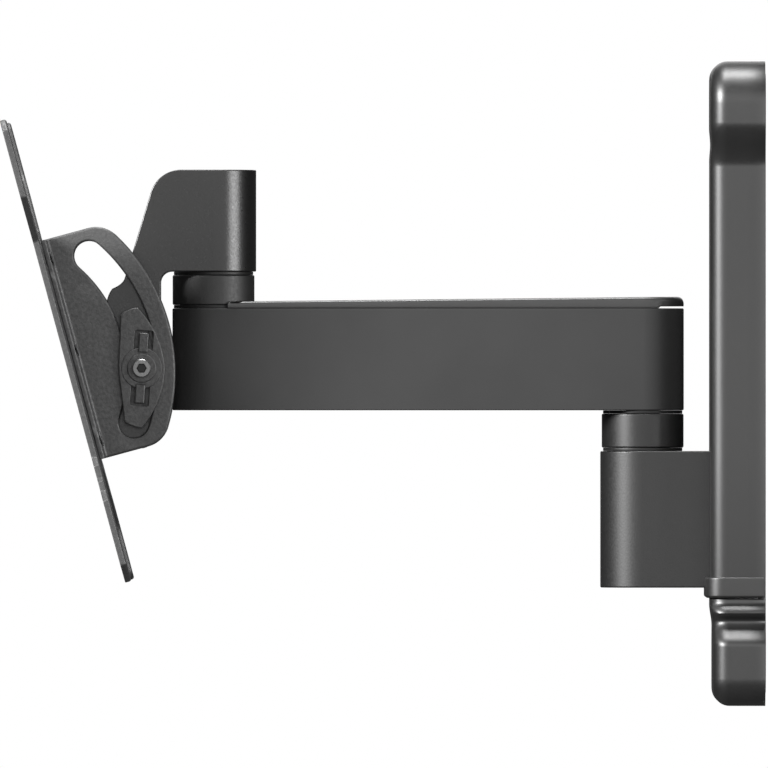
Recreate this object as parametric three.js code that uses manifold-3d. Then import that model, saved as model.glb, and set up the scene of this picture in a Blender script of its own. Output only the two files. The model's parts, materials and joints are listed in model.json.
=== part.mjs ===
// A single-arm, full-motion television wall mount.
// The wall is the plane Y = 0 and the television is towards -Y. X runs across, Z is up, units are mm.
// The origin is on the wall, at the middle of the wall plate.
import * as THREE from "three";
import { mergeVertices } from "three/addons/utils/BufferGeometryUtils.js";
import Module from "manifold-3d";

const wasm = await Module();
wasm.setup();

// ---------- driving dimensions ----------

const GAP = 0.3; // between neighbouring pieces
const DEGREE = Math.PI / 180;

// The two upright pivots and the level tilt axis.
const WALL_PIVOT_Y = -57.7;
const ARM_LENGTH = 202.4;
const HEAD_PIVOT_Y = WALL_PIVOT_Y - ARM_LENGTH;
const TILT_AXIS_Y = HEAD_PIVOT_Y - 107.5;
const TILT_AXIS_Z = 4.8;
const TILT_AT_REST = 15.2 * DEGREE; // the screen faces down by this much

// Heights.
const BRACKET_BOTTOM = -96.2;
const BRACKET_TOP = -31.8;
const ARM_BOTTOM = -12.6;
const ARM_TOP = 35.5;
const HEAD_BOTTOM = 52.8;
const HEAD_TOP = 100.8;

// Wall plate and its covers.
const WALL_HALF_HEIGHT = 151.7;
const PLATE_THICK = 3;
const COVER_DEPTH = 26;
const COVER_WALL = 2.5;
const COVER_ROUND = 9;
const COVER_LOBE = 56;
const COVER_MIDDLE = 46;
const COVER_FOOT = 53;
const BAND_TOP = -90.8;
const BAND_BOTTOM = -100.9;
const BAND_PROUD = 2.5;

// Pivots.
const BRACKET_RADIUS = 20;
const COLLAR_RADIUS = 19.3;
const THRUST_RADIUS = 18.7;
const THRUST_THICK = 1;
const SHAFT_RADIUS = 8;
const BUSH_OUTER = 10;
const BORE_RADIUS = BUSH_OUTER + GAP;
const SHAFT_BORE = SHAFT_RADIUS + GAP;
const BOLT_HEAD_RADIUS = 12.8;
const COUNTERBORE = 13.4;
const WASHER_RADIUS = 14.5;
const WASHER_THICK = 1.5;
const NUT_RADIUS = 13.8;
const NUT_HEIGHT = 9.5;
const BUSH_FLANGE_RADIUS = 13;
const BUSH_FLANGE = 1.2;
const PLUG_THICK = 2.7;
const ARM_PLUG_THICK = 1.9;
const BOLT_END_DEPTH = 3; // how far the bolts end below the lid and the head's top

// Arm.
const ARM_RADIUS = 19.4;
const ARM_WALL = 3;
const ARM_FLOOR = 4;
const ARM_BOSS_TOP = 13;
const CHANNEL_END_Y = HEAD_PIVOT_Y + 26;
const LID_START_Y = HEAD_PIVOT_Y + 6.8;

// Head bracket.
const HEAD_RADIUS = 20.1;
const SHEET = 3;
const HUB_TOP = 82;
const HEAD_CORNER_Y = -275.2;

// Tilt slides, measured from the tilt axis.
const SLOT_RADIUS = 73.8;
const SLOT_HALF_WIDTH = 7.05;
const SLOT_HALF_ANGLE = 33.5 * DEGREE;
const SLIDER_ANGLE = 1.9 * DEGREE;
const TILT_PLATE_INNER = 21.5;
const TILT_PLATE_THICK = 2.5;
const TILT_PLATE_RADIUS = 89.7;
const TILT_PLATE_HALF_HEIGHT = 53.4;
const TILT_BOLT_RADIUS = 2.9;
const SLIDE_FLANGE = 2;
const SLIDE_BOSS = 0.8; // how far the boss stands out of the flange
const SLIDE_BASE = TILT_PLATE_INNER + TILT_PLATE_THICK + GAP;
const TILT_SEAT = SLIDE_BASE + SLIDE_FLANGE + SLIDE_BOSS + GAP;

// Television plate, measured from the tilt axis.
const TV_PLATE_FRONT = 38.5;
const TV_PLATE_BACK = TV_PLATE_FRONT + PLATE_THICK;
const TV_HALF = 112.2;
const TV_HOLE_RADIUS = 3.3;

// ---------- materials ----------

const finish = (color, roughness, metalness) => () =>
  new THREE.MeshStandardMaterial({ color, roughness, metalness });
const graphitePlastic = finish(0x4a4a48, 0.42, 0);
const graphitePaint = finish(0x454543, 0.45, 0.3);
const texturedPaint = finish(0x4c4d4b, 0.62, 0.3);
const blackPlastic = finish(0x1c1c1c, 0.55, 0);
const bearingNylon = finish(0x2a2a2a, 0.5, 0);
const zincSteel = finish(0xa8a8a4, 0.35, 1);
const darkSteel = finish(0x3a3a3a, 0.4, 0.9);

// ---------- solids ----------

const point = (x, y) => new THREE.Vector2(x, y);
const polar = (radius, angle) => point(radius * Math.cos(angle), radius * Math.sin(angle));

function solidOf(geometry) {
  const bare = geometry.clone();
  bare.deleteAttribute("normal");
  bare.deleteAttribute("uv");
  const merged = mergeVertices(bare, 1e-3);
  return new wasm.Manifold(
    new wasm.Mesh({
      numProp: 3,
      vertProperties: merged.attributes.position.array,
      triVerts: new Uint32Array(merged.index.array),
    }),
  );
}

function geometryOf(solid) {
  const { vertProperties, triVerts } = solid.getMesh();
  const geometry = new THREE.BufferGeometry();
  geometry.setAttribute("position", new THREE.BufferAttribute(vertProperties, 3));
  geometry.setIndex(new THREE.BufferAttribute(triVerts, 1));
  geometry.computeVertexNormals();
  return geometry;
}

const combine = (step) => (first, ...rest) =>
  geometryOf(rest.reduce((sum, next) => sum[step](solidOf(next)), solidOf(first)));
const join = combine("add");
const cut = combine("subtract");
const common = combine("intersect");

function extrude(shape, depth, options = {}) {
  return new THREE.ExtrudeGeometry(shape, { depth, bevelEnabled: false, curveSegments: 12, ...options });
}

// A shape drawn in X and Y, raised from one height to another.
function raise(shape, bottom, top, options) {
  return extrude(shape, top - bottom, options).translate(0, 0, bottom);
}

// A shape drawn in Y and Z, drawn out across X.
const ACROSS = new THREE.Matrix4().makeBasis(
  new THREE.Vector3(0, 1, 0),
  new THREE.Vector3(0, 0, 1),
  new THREE.Vector3(1, 0, 0),
);
function across(shape, from, to, options) {
  return extrude(shape, to - from, options).applyMatrix4(ACROSS).translate(from, 0, 0);
}

// A shape drawn in X and Z, drawn out from the plane y = back towards -Y.
const FORWARD = new THREE.Matrix4().makeBasis(
  new THREE.Vector3(1, 0, 0),
  new THREE.Vector3(0, 0, 1),
  new THREE.Vector3(0, -1, 0),
);
function forward(shape, back, depth, options) {
  return extrude(shape, depth, options).applyMatrix4(FORWARD).translate(0, back, 0);
}

// A round solid about an upright axis. The profile is [radius, height] pairs, up its outer side.
function turned(profile, segments = 20) {
  const points = profile.map(([radius, height]) => point(radius, height));
  return new THREE.LatheGeometry(points, segments).rotateX(Math.PI / 2);
}

function disc(radius, bottom, top, segments) {
  return turned([[0, bottom], [radius, bottom], [radius, top], [0, top]], segments);
}

function ring(inner, outer, bottom, top, segments) {
  return turned([[inner, bottom], [outer, bottom], [outer, top], [inner, top], [inner, bottom]], segments);
}

function block(low, high) {
  const size = high.map((value, i) => value - low[i]);
  const middle = high.map((value, i) => (value + low[i]) / 2);
  return new THREE.BoxGeometry(...size).translate(...middle);
}

// A closed outline through [x, y, rounding] corners, each one softened by its own rounding.
function softPolygon(corners) {
  const shape = new THREE.Shape();
  const at = corners.map(([x, y]) => point(x, y));
  corners.forEach(([, , rounding], i) => {
    const before = at.at(i - 1);
    const after = at[(i + 1) % at.length];
    const start = at[i].clone().add(before.clone().sub(at[i]).setLength(rounding));
    const end = at[i].clone().add(after.clone().sub(at[i]).setLength(rounding));
    if (i === 0) shape.moveTo(start.x, start.y);
    else shape.lineTo(start.x, start.y);
    shape.quadraticCurveTo(at[i].x, at[i].y, end.x, end.y);
  });
  return shape;
}

// A slot with round ends, lying along Y.
function stadium(x, yLow, yHigh, radius) {
  const shape = new THREE.Shape();
  shape.absarc(x, yHigh, radius, 0, Math.PI);
  shape.absarc(x, yLow, radius, Math.PI, 2 * Math.PI);
  return shape;
}

function circle(x, y, radius) {
  return new THREE.Shape().absarc(x, y, radius, 0, 2 * Math.PI);
}

// ---------- scene graph ----------

const mount = new THREE.Group();
const wallBase = new THREE.Group();
const arm = new THREE.Group();
const head = new THREE.Group();
const tvBracket = new THREE.Group();
tvBracket.position.set(0, TILT_AXIS_Y, TILT_AXIS_Z);
tvBracket.rotation.x = TILT_AT_REST;
mount.add(wallBase, arm, head, tvBracket);

function place(parent, name, geometry, material, x = 0, y = 0, z = 0) {
  const mesh = new THREE.Mesh(geometry, material());
  mesh.name = name;
  mesh.position.set(x, y, z);
  parent.add(mesh);
  return mesh;
}

// ---------- pieces that both upright pivots share ----------

// A shouldered bolt, standing on its head.
function pivotBolt(headBottom, headTop, shaftTop) {
  const chamfer = 1;
  const profile = [
    [0, headBottom],
    [BOLT_HEAD_RADIUS - chamfer, headBottom],
    [BOLT_HEAD_RADIUS, headBottom + chamfer],
    [BOLT_HEAD_RADIUS, headTop],
    [SHAFT_RADIUS, headTop],
    [SHAFT_RADIUS, shaftTop - chamfer],
    [SHAFT_RADIUS - chamfer, shaftTop],
    [0, shaftTop],
  ];
  const socketRadius = 5;
  const socketDepth = 4;
  const socket = disc(socketRadius, headBottom - 1, headBottom + socketDepth, 6);
  return cut(turned(profile), socket);
}

function hexNut(bottom) {
  return cut(
    disc(NUT_RADIUS, bottom, bottom + NUT_HEIGHT, 6),
    disc(SHAFT_BORE, bottom - 1, bottom + NUT_HEIGHT + 1),
  );
}

function thrustWasher(bottom) {
  return ring(SHAFT_BORE, THRUST_RADIUS, bottom, bottom + THRUST_THICK);
}

function bush(bottom, top, flange) {
  const flangeTop = top + BUSH_FLANGE;
  const barrel = [[SHAFT_BORE, bottom], [BUSH_OUTER, bottom], [BUSH_OUTER, top]];
  const shoulder = [[BUSH_FLANGE_RADIUS, top], [BUSH_FLANGE_RADIUS, flangeTop], [SHAFT_BORE, flangeTop]];
  const plain = [[SHAFT_BORE, top]];
  return turned([...barrel, ...(flange ? shoulder : plain), [SHAFT_BORE, bottom]]);
}

// A lipped plug that closes a counterbore from below.
function plug(bottom, top) {
  const lip = 0.4;
  return turned([
    [0, bottom],
    [COUNTERBORE - GAP - lip, bottom],
    [COUNTERBORE - GAP, bottom + lip],
    [COUNTERBORE - GAP, top],
    [0, top],
  ]);
}

// ---------- wall side ----------

const BRACKET_SCREW_X = 12;
const BRACKET_SCREW_HEIGHTS = [-48, -80];
const LAG_HEIGHT = 128;

function wallPlate() {
  const lobe = 44;
  const waist = 36;
  const halfHeight = 146;
  const shoulder = 122;
  const corner = 14;
  const shape = new THREE.Shape();
  shape.moveTo(waist, 0);
  shape.lineTo(waist, shoulder - corner);
  shape.lineTo(lobe, shoulder);
  shape.absarc(lobe - corner, halfHeight - corner, corner, 0, Math.PI / 2);
  shape.absarc(corner - lobe, halfHeight - corner, corner, Math.PI / 2, Math.PI);
  shape.lineTo(-lobe, shoulder);
  shape.lineTo(-waist, shoulder - corner);
  shape.lineTo(-waist, corner - shoulder);
  shape.lineTo(-lobe, -shoulder);
  shape.absarc(corner - lobe, corner - halfHeight, corner, Math.PI, 1.5 * Math.PI);
  shape.absarc(lobe - corner, corner - halfHeight, corner, 1.5 * Math.PI, 2 * Math.PI);
  shape.lineTo(lobe, -shoulder);
  shape.lineTo(waist, corner - shoulder);
  const lagRadius = 4.5;
  const lagTravel = 5;
  const sideHoleX = 30;
  for (const side of [-1, 1]) {
    shape.holes.push(stadium(0, side * LAG_HEIGHT - lagTravel, side * LAG_HEIGHT + lagTravel, lagRadius));
    shape.holes.push(circle(sideHoleX, side * LAG_HEIGHT, lagRadius));
    shape.holes.push(circle(-sideHoleX, side * LAG_HEIGHT, lagRadius));
  }
  return cut(
    forward(shape, 0, PLATE_THICK, { curveSegments: 6 }),
    ...screwPlaces().map(([x, z]) => screwSpace(x, z)),
  );
}

function screwPlaces() {
  return BRACKET_SCREW_HEIGHTS.flatMap((z) => [-1, 1].map((side) => [side * BRACKET_SCREW_X, z]));
}

// A countersunk screw lying along Y, its head just under the wall face. grow widens it into its hole.
function countersunk(x, z, grow = 0) {
  const headRadius = 5.6 + grow;
  const shankRadius = 2.85 + grow;
  const sunk = grow ? -1 : 0.4;
  const rim = 0.9;
  const coneEnd = 3.2;
  const tip = grow ? 17 : 15;
  const profile = [
    [0, -tip],
    [shankRadius, -tip],
    [shankRadius, -coneEnd],
    [headRadius, -rim],
    [headRadius, -sunk],
    [0, -sunk],
  ];
  return turned(profile, 12).rotateX(-Math.PI / 2).translate(x, 0, z);
}

const screwSpace = (x, z) => countersunk(x, z, GAP);

// The front outline of the long cover: a wide top lobe that flows into a narrower body.
function mainCoverOutline(inset = 0) {
  const lobe = COVER_LOBE - inset;
  const middle = COVER_MIDDLE - inset;
  const top = WALL_HALF_HEIGHT - inset;
  const corner = 20 - inset;
  const flowTop = 122;
  const flowBottom = 101;
  const pull = 9;
  const shape = new THREE.Shape();
  shape.moveTo(middle, BAND_TOP);
  shape.lineTo(middle, flowBottom);
  shape.bezierCurveTo(middle, flowBottom + pull, lobe, flowTop - pull, lobe, flowTop);
  shape.absarc(lobe - corner, top - corner, corner, 0, Math.PI / 2);
  shape.absarc(corner - lobe, top - corner, corner, Math.PI / 2, Math.PI);
  shape.lineTo(-lobe, flowTop);
  shape.bezierCurveTo(-lobe, flowTop - pull, -middle, flowBottom + pull, -middle, flowBottom);
  shape.lineTo(-middle, BAND_TOP);
  return shape;
}

// The front outline of the foot cover: a neck under the band that widens to a rounded foot.
function footCoverOutline(inset = 0) {
  const top = BAND_BOTTOM - GAP;
  const neck = COVER_MIDDLE - 0.5 - inset;
  const foot = COVER_FOOT - inset;
  const bottom = -WALL_HALF_HEIGHT + inset;
  const corner = 14 - inset;
  const flowTop = -107;
  const flowBottom = -122;
  const pull = 6;
  const shape = new THREE.Shape();
  shape.moveTo(-neck, top);
  shape.lineTo(-neck, flowTop);
  shape.bezierCurveTo(-neck, flowTop - pull, -foot, flowBottom + pull, -foot, flowBottom);
  shape.absarc(corner - foot, bottom + corner, corner, Math.PI, 1.5 * Math.PI);
  shape.absarc(foot - corner, bottom + corner, corner, 1.5 * Math.PI, 2 * Math.PI);
  shape.lineTo(foot, flowBottom);
  shape.bezierCurveTo(foot, flowBottom + pull, neck, flowTop - pull, neck, flowTop);
  shape.lineTo(neck, top);
  return shape;
}

// A block with a rounded front edge all round, cut off square just in front of the wall.
function roundedFront(shape, depth, round) {
  const beyond = 200;
  const bevelled = forward(shape, round, depth, {
    bevelEnabled: true,
    bevelSize: round,
    bevelThickness: round,
    bevelOffset: -round,
    bevelSegments: 3,
    curveSegments: 5,
  });
  return cut(bevelled, block([-beyond, -GAP, -beyond], [beyond, beyond, beyond]));
}

function bracketWindow() {
  const room = BRACKET_RADIUS + 0.5;
  return block([-room, -60, BRACKET_BOTTOM - 0.5], [room, 10, BRACKET_TOP + 0.5]);
}

// The outline with its straight end at y = end moved out by a length, past where the cover is cut.
function stretched(outline, end, length) {
  const points = outline.getPoints(5);
  const moved = points.map((p) => (Math.abs(p.y - end) < 1e-6 ? point(p.x, p.y + length) : p));
  return new THREE.Shape(moved);
}

function coverShell(outline, end, towards) {
  const spare = 3 * COVER_ROUND * towards;
  const beyond = 200;
  const trim =
    towards < 0
      ? block([-beyond, -beyond, -beyond], [beyond, beyond, end])
      : block([-beyond, -beyond, end], [beyond, beyond, beyond]);
  const outer = roundedFront(stretched(outline(0), end, spare), COVER_DEPTH, COVER_ROUND);
  const inner = roundedFront(
    stretched(outline(COVER_WALL), end, spare),
    COVER_DEPTH - COVER_WALL,
    COVER_ROUND - COVER_WALL,
  );
  return cut(outer, inner, trim);
}

function mainCover() {
  return cut(coverShell(mainCoverOutline, BAND_TOP, -1), bracketWindow());
}

function footCover() {
  return coverShell(footCoverOutline, BAND_BOTTOM - GAP, 1);
}

// The band that joins the two covers: a U in plan, a little proud of both.
function coverBand() {
  const half = COVER_MIDDLE + 1.2;
  const front = -(COVER_DEPTH + BAND_PROUD);
  const round = COVER_ROUND;
  const thick = COVER_WALL + 1;
  const plan = (side, depth, radius) => {
    const shape = new THREE.Shape();
    shape.moveTo(side, -GAP);
    shape.lineTo(-side, -GAP);
    shape.absarc(radius - side, depth + radius, radius, Math.PI, 1.5 * Math.PI);
    shape.absarc(side - radius, depth + radius, radius, 1.5 * Math.PI, 2 * Math.PI);
    return shape;
  };
  const outer = raise(plan(half, front, round), BAND_BOTTOM, BAND_TOP - GAP, { curveSegments: 8 });
  const inner = raise(
    plan(half - thick, front + thick, round - thick),
    BAND_BOTTOM - 1,
    BAND_TOP + 1,
    { curveSegments: 8 },
  ).translate(0, 1, 0);
  const wide = block([thick - half, front + thick + round, BAND_BOTTOM - 1], [half - thick, 5, BAND_TOP + 1]);
  return cut(outer, inner, wide, bracketWindow());
}

function wallBracket() {
  const back = -(PLATE_THICK + GAP);
  const shape = new THREE.Shape();
  shape.moveTo(BRACKET_RADIUS, back);
  shape.lineTo(-BRACKET_RADIUS, back);
  shape.absarc(0, WALL_PIVOT_Y, BRACKET_RADIUS, Math.PI, 2 * Math.PI);
  const body = raise(shape, BRACKET_BOTTOM, BRACKET_TOP, { curveSegments: 12 });
  const bore = disc(SHAFT_BORE, BRACKET_BOTTOM - 1, BRACKET_TOP + 1).translate(0, WALL_PIVOT_Y, 0);
  const counterbore = disc(COUNTERBORE, BRACKET_BOTTOM - 1, WALL_BOLT_HEAD_TOP + GAP);
  counterbore.translate(0, WALL_PIVOT_Y, 0);
  return cut(body, bore, counterbore, ...screwPlaces().map(([x, z]) => screwSpace(x, z)));
}

const WALL_BOLT_HEAD_TOP = BRACKET_BOTTOM + 12;
const WALL_COLLAR_BOTTOM = BRACKET_TOP + 2 * GAP + THRUST_THICK;
const WALL_COLLAR_TOP = ARM_BOTTOM - 2 * GAP - THRUST_THICK;
const WALL_NUT_SEAT = ARM_BOSS_TOP + BUSH_FLANGE + 2 * GAP;

function buildWallBase() {
  place(wallBase, "wall_plate", wallPlate(), texturedPaint);
  place(wallBase, "wall_cover_main", mainCover(), graphitePlastic);
  place(wallBase, "wall_cover_band", coverBand(), graphitePlastic);
  place(wallBase, "wall_cover_foot", footCover(), graphitePlastic);
  place(wallBase, "wall_bracket", wallBracket(), graphitePaint);
  screwPlaces().forEach(([x, z], i) => {
    place(wallBase, `wall_bracket_screw_${i + 1}`, countersunk(x, z), zincSteel);
  });
  const y = WALL_PIVOT_Y;
  const plugTop = BRACKET_BOTTOM + PLUG_THICK;
  place(wallBase, "wall_bracket_plug", plug(BRACKET_BOTTOM, plugTop), blackPlastic, 0, y);
  const bolt = pivotBolt(plugTop + GAP, WALL_BOLT_HEAD_TOP, ARM_TOP - BOLT_END_DEPTH);
  place(wallBase, "wall_pivot_bolt", bolt, zincSteel, 0, y);
  place(wallBase, "wall_thrust_washer_lower", thrustWasher(BRACKET_TOP + GAP), bearingNylon, 0, y);
  const collar = ring(SHAFT_BORE, COLLAR_RADIUS, WALL_COLLAR_BOTTOM, WALL_COLLAR_TOP, 24);
  place(wallBase, "wall_pivot_collar", collar, graphitePaint, 0, y);
  place(wallBase, "wall_thrust_washer_upper", thrustWasher(WALL_COLLAR_TOP + GAP), bearingNylon, 0, y);
  const washer = ring(SHAFT_BORE, WASHER_RADIUS, WALL_NUT_SEAT, WALL_NUT_SEAT + WASHER_THICK);
  place(wallBase, "wall_pivot_washer", washer, zincSteel, 0, y);
  const nut = hexNut(WALL_NUT_SEAT + WASHER_THICK + GAP);
  place(wallBase, "wall_pivot_nut", nut, zincSteel, 0, y);
}

// ---------- arm ----------

const HEAD_BOLT_HEAD_TOP = ARM_BOTTOM + 9;
const HEAD_COLLAR_BOTTOM = ARM_TOP + 2 * GAP + THRUST_THICK;
const HEAD_COLLAR_TOP = HEAD_BOTTOM - 2 * GAP - THRUST_THICK;
const HEAD_NUT_SEAT = HUB_TOP + BUSH_FLANGE + 2 * GAP;

function armBody() {
  const body = raise(stadium(0, HEAD_PIVOT_Y, WALL_PIVOT_Y, ARM_RADIUS), ARM_BOTTOM, ARM_TOP, {
    curveSegments: 12,
  });
  const inner = ARM_RADIUS - ARM_WALL;
  const trough = new THREE.Shape();
  trough.absarc(0, WALL_PIVOT_Y, inner, 0, Math.PI);
  trough.lineTo(-inner, CHANNEL_END_Y);
  trough.lineTo(inner, CHANNEL_END_Y);
  const channel = raise(trough, ARM_BOTTOM + ARM_FLOOR, ARM_TOP + 1, { curveSegments: 12 });
  const bossRadius = BUSH_OUTER + 4;
  const boss = disc(bossRadius, ARM_BOTTOM + 1, ARM_BOSS_TOP).translate(0, WALL_PIVOT_Y, 0);
  const wallBore = disc(BORE_RADIUS, ARM_BOTTOM - 1, ARM_BOSS_TOP + 1).translate(0, WALL_PIVOT_Y, 0);
  const headBore = disc(SHAFT_BORE, ARM_BOTTOM - 1, ARM_TOP + 1).translate(0, HEAD_PIVOT_Y, 0);
  const counterbore = disc(COUNTERBORE, ARM_BOTTOM - 1, HEAD_BOLT_HEAD_TOP + GAP);
  counterbore.translate(0, HEAD_PIVOT_Y, 0);
  const exits = cableExits().map(({ low, high }) =>
    raise(stadium(0, low, high, CABLE_EXIT_RADIUS), ARM_BOTTOM - 1, ARM_BOTTOM + ARM_FLOOR + 1, {
      curveSegments: 8,
    }),
  );
  const hollow = cut(body, channel);
  return cut(join(hollow, boss), wallBore, headBore, counterbore, ...exits);
}

// Cables leave the channel through an oblong hole in its floor at each end.
const CABLE_EXIT_RADIUS = 8;
const CABLE_EXIT_TRAVEL = 22;
function cableExits() {
  const wallEnd = WALL_PIVOT_Y - 32;
  const headEnd = CHANNEL_END_Y + 14;
  return [
    { low: wallEnd - CABLE_EXIT_TRAVEL, high: wallEnd },
    { low: headEnd, high: headEnd + CABLE_EXIT_TRAVEL },
  ];
}

// The lid rises slightly towards the wall, is forked round the head collar, and lifts off the arm
// at its wall end, which leaves a narrow slit under it.
function cableCover() {
  const bottom = ARM_TOP + GAP;
  const slit = 0.6;
  const lidEnd = WALL_PIVOT_Y + ARM_RADIUS;
  const thinTop = 38.3;
  const thickTop = 40.6;
  const round = 4;
  const side = new THREE.Shape();
  side.moveTo(LID_START_Y, bottom);
  side.lineTo(lidEnd - 12, bottom);
  side.lineTo(lidEnd - 11, bottom + slit);
  side.lineTo(lidEnd + 1, bottom + slit);
  side.lineTo(lidEnd + 1, thickTop - round);
  side.lineTo(lidEnd, thickTop - round);
  side.absarc(lidEnd - round, thickTop - round, round, 0, Math.PI / 2);
  side.lineTo(LID_START_Y + 2, thinTop);
  side.lineTo(LID_START_Y, thinTop - 1);
  const plan = raise(stadium(0, HEAD_PIVOT_Y, WALL_PIVOT_Y, ARM_RADIUS), ARM_TOP, ARM_TOP + 8, {
    curveSegments: 12,
  });
  const lipWidth = ARM_RADIUS - ARM_WALL - GAP;
  const lipDepth = 3;
  const lipThick = 1.6;
  const lip = cut(
    block([-lipWidth, CHANNEL_END_Y + GAP, bottom - lipDepth], [lipWidth, WALL_PIVOT_Y, bottom + 1]),
    block(
      [lipThick - lipWidth, CHANNEL_END_Y + GAP + lipThick, bottom - lipDepth - 1],
      [lipWidth - lipThick, WALL_PIVOT_Y + 1, bottom],
    ),
  );
  const collarRoom = disc(COLLAR_RADIUS + GAP, ARM_TOP - 1, ARM_TOP + 10, 24).translate(0, HEAD_PIVOT_Y, 0);
  return cut(join(common(plan, across(side, -30, 30)), lip), collarRoom);
}

function buildArm() {
  place(arm, "arm_body", armBody(), graphitePaint);
  place(arm, "arm_cable_cover", cableCover(), graphitePlastic);
  place(arm, "arm_bush_lower", bush(ARM_BOTTOM, -1, false), bearingNylon, 0, WALL_PIVOT_Y);
  place(arm, "arm_bush_upper", bush(-1 + GAP, ARM_BOSS_TOP + GAP, true), bearingNylon, 0, WALL_PIVOT_Y);
  const y = HEAD_PIVOT_Y;
  const plugTop = ARM_BOTTOM + ARM_PLUG_THICK;
  place(arm, "arm_plug", plug(ARM_BOTTOM, plugTop), blackPlastic, 0, y);
  const bolt = pivotBolt(plugTop + GAP, HEAD_BOLT_HEAD_TOP, HEAD_TOP - BOLT_END_DEPTH);
  place(arm, "head_pivot_bolt", bolt, zincSteel, 0, y);
  place(arm, "head_thrust_washer_lower", thrustWasher(ARM_TOP + GAP), bearingNylon, 0, y);
  const collar = ring(SHAFT_BORE, COLLAR_RADIUS, HEAD_COLLAR_BOTTOM, HEAD_COLLAR_TOP, 24);
  place(arm, "head_pivot_collar", collar, graphitePaint, 0, y);
  place(arm, "head_thrust_washer_upper", thrustWasher(HEAD_COLLAR_TOP + GAP), bearingNylon, 0, y);
  const washer = ring(SHAFT_BORE, WASHER_RADIUS, HEAD_NUT_SEAT + GAP, HEAD_NUT_SEAT + GAP + WASHER_THICK);
  place(arm, "head_pivot_washer", washer, zincSteel, 0, y);
  place(arm, "head_pivot_nut", hexNut(HEAD_NUT_SEAT + WASHER_THICK + 2 * GAP), zincSteel, 0, y);
}

// ---------- head ----------

// The plan of a sheet that wraps the pivot and runs forward as two cheeks.
function wrapPlan(radius, reach) {
  const shape = new THREE.Shape();
  shape.moveTo(radius, reach);
  shape.lineTo(radius, HEAD_PIVOT_Y);
  shape.absarc(0, HEAD_PIVOT_Y, radius, 0, Math.PI);
  shape.lineTo(-radius, reach);
  return shape;
}

// The side outline of the cheeks: a square top, a sloping front edge and a paddle about the tilt axis.
function cheekOutline() {
  const corner = 15;
  const slope = 18.5 * DEGREE;
  const back = HEAD_PIVOT_Y + HEAD_RADIUS + 2;
  const throat = point(HEAD_PIVOT_Y - 24.8, 47.4);
  const throatRound = 5.2;
  const paddleOuter = 85;
  const upperEdge = 32.5 * DEGREE;
  const lowerEdge = -26 * DEGREE;
  const fromAxis = (radius, angle) => polar(radius, angle).add(point(TILT_AXIS_Y, TILT_AXIS_Z));
  const shape = new THREE.Shape();
  shape.moveTo(back, HEAD_BOTTOM);
  shape.lineTo(back, HEAD_TOP);
  const cornerEnd = Math.PI - slope;
  shape.absarc(HEAD_CORNER_Y, HEAD_TOP - corner, corner, Math.PI / 2, cornerEnd);
  const slopeFoot = fromAxis(79, 34 * DEGREE);
  shape.lineTo(slopeFoot.x, slopeFoot.y);
  const nook = fromAxis(76.5, 33 * DEGREE);
  const brow = fromAxis(72, upperEdge + 1.2 * DEGREE);
  shape.quadraticCurveTo(nook.x, nook.y, brow.x, brow.y);
  const noseTop = fromAxis(67.2, upperEdge);
  const noseLow = fromAxis(64, 27 * DEGREE);
  shape.quadraticCurveTo(noseTop.x, noseTop.y, noseLow.x, noseLow.y);
  const chinHigh = fromAxis(64, -23 * DEGREE);
  const chin = fromAxis(66, lowerEdge);
  const chinLow = fromAxis(72, lowerEdge);
  shape.lineTo(chinHigh.x, chinHigh.y);
  shape.quadraticCurveTo(chin.x, chin.y, chinLow.x, chinLow.y);
  const heelStart = fromAxis(79, lowerEdge);
  const heel = fromAxis(paddleOuter, lowerEdge);
  const heelEnd = fromAxis(paddleOuter, lowerEdge + 5 * DEGREE);
  shape.lineTo(heelStart.x, heelStart.y);
  shape.quadraticCurveTo(heel.x, heel.y, heelEnd.x, heelEnd.y);
  const outerEnd = Math.acos((throat.x - TILT_AXIS_Y) / paddleOuter);
  shape.absarc(TILT_AXIS_Y, TILT_AXIS_Z, paddleOuter, lowerEdge + 5 * DEGREE, outerEnd);
  shape.lineTo(throat.x, HEAD_BOTTOM - throatRound);
  shape.absarc(throat.x + throatRound, HEAD_BOTTOM - throatRound, throatRound, Math.PI, Math.PI / 2, true);
  return shape;
}

const TILT_BOLT_Y = TILT_AXIS_Y + SLOT_RADIUS * Math.cos(SLIDER_ANGLE);
const TILT_BOLT_Z = TILT_AXIS_Z + SLOT_RADIUS * Math.sin(SLIDER_ANGLE);

// A round piece lying along X on the tilt bolt's line. The profile is [radius, x] pairs.
function onTiltBolt(profile, segments = 20) {
  return turned(profile, segments).rotateY(Math.PI / 2).translate(0, TILT_BOLT_Y, TILT_BOLT_Z);
}

function tiltBoltSpace() {
  const radius = TILT_BOLT_RADIUS + GAP;
  return onTiltBolt([[0, -60], [radius, -60], [radius, 60], [0, 60]], 20);
}

function headBracket() {
  const reach = TILT_AXIS_Y + 50;
  const wrap = cut(
    raise(wrapPlan(HEAD_RADIUS, reach), -60, HEAD_TOP + 5, { curveSegments: 12 }),
    raise(wrapPlan(HEAD_RADIUS - SHEET, reach - 5), -65, HEAD_TOP + 10, { curveSegments: 12 }),
  );
  return cut(common(wrap, across(cheekOutline(), -30, 30)), tiltBoltSpace());
}

function headCap() {
  const thick = 2.2;
  const radius = HEAD_RADIUS - SHEET - GAP;
  const top = HEAD_TOP - 0.6;
  return raise(wrapPlan(radius, HEAD_CORNER_Y + 2), top - thick, top, { curveSegments: 12 });
}

function headHub() {
  const profile = [
    [BORE_RADIUS, HEAD_BOTTOM],
    [HEAD_RADIUS - SHEET - GAP, HEAD_BOTTOM],
    [HEAD_RADIUS - SHEET - GAP, HUB_TOP],
    [BORE_RADIUS, HUB_TOP],
    [BORE_RADIUS, HEAD_BOTTOM],
  ];
  return turned(profile, 24).translate(0, HEAD_PIVOT_Y, 0);
}

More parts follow.
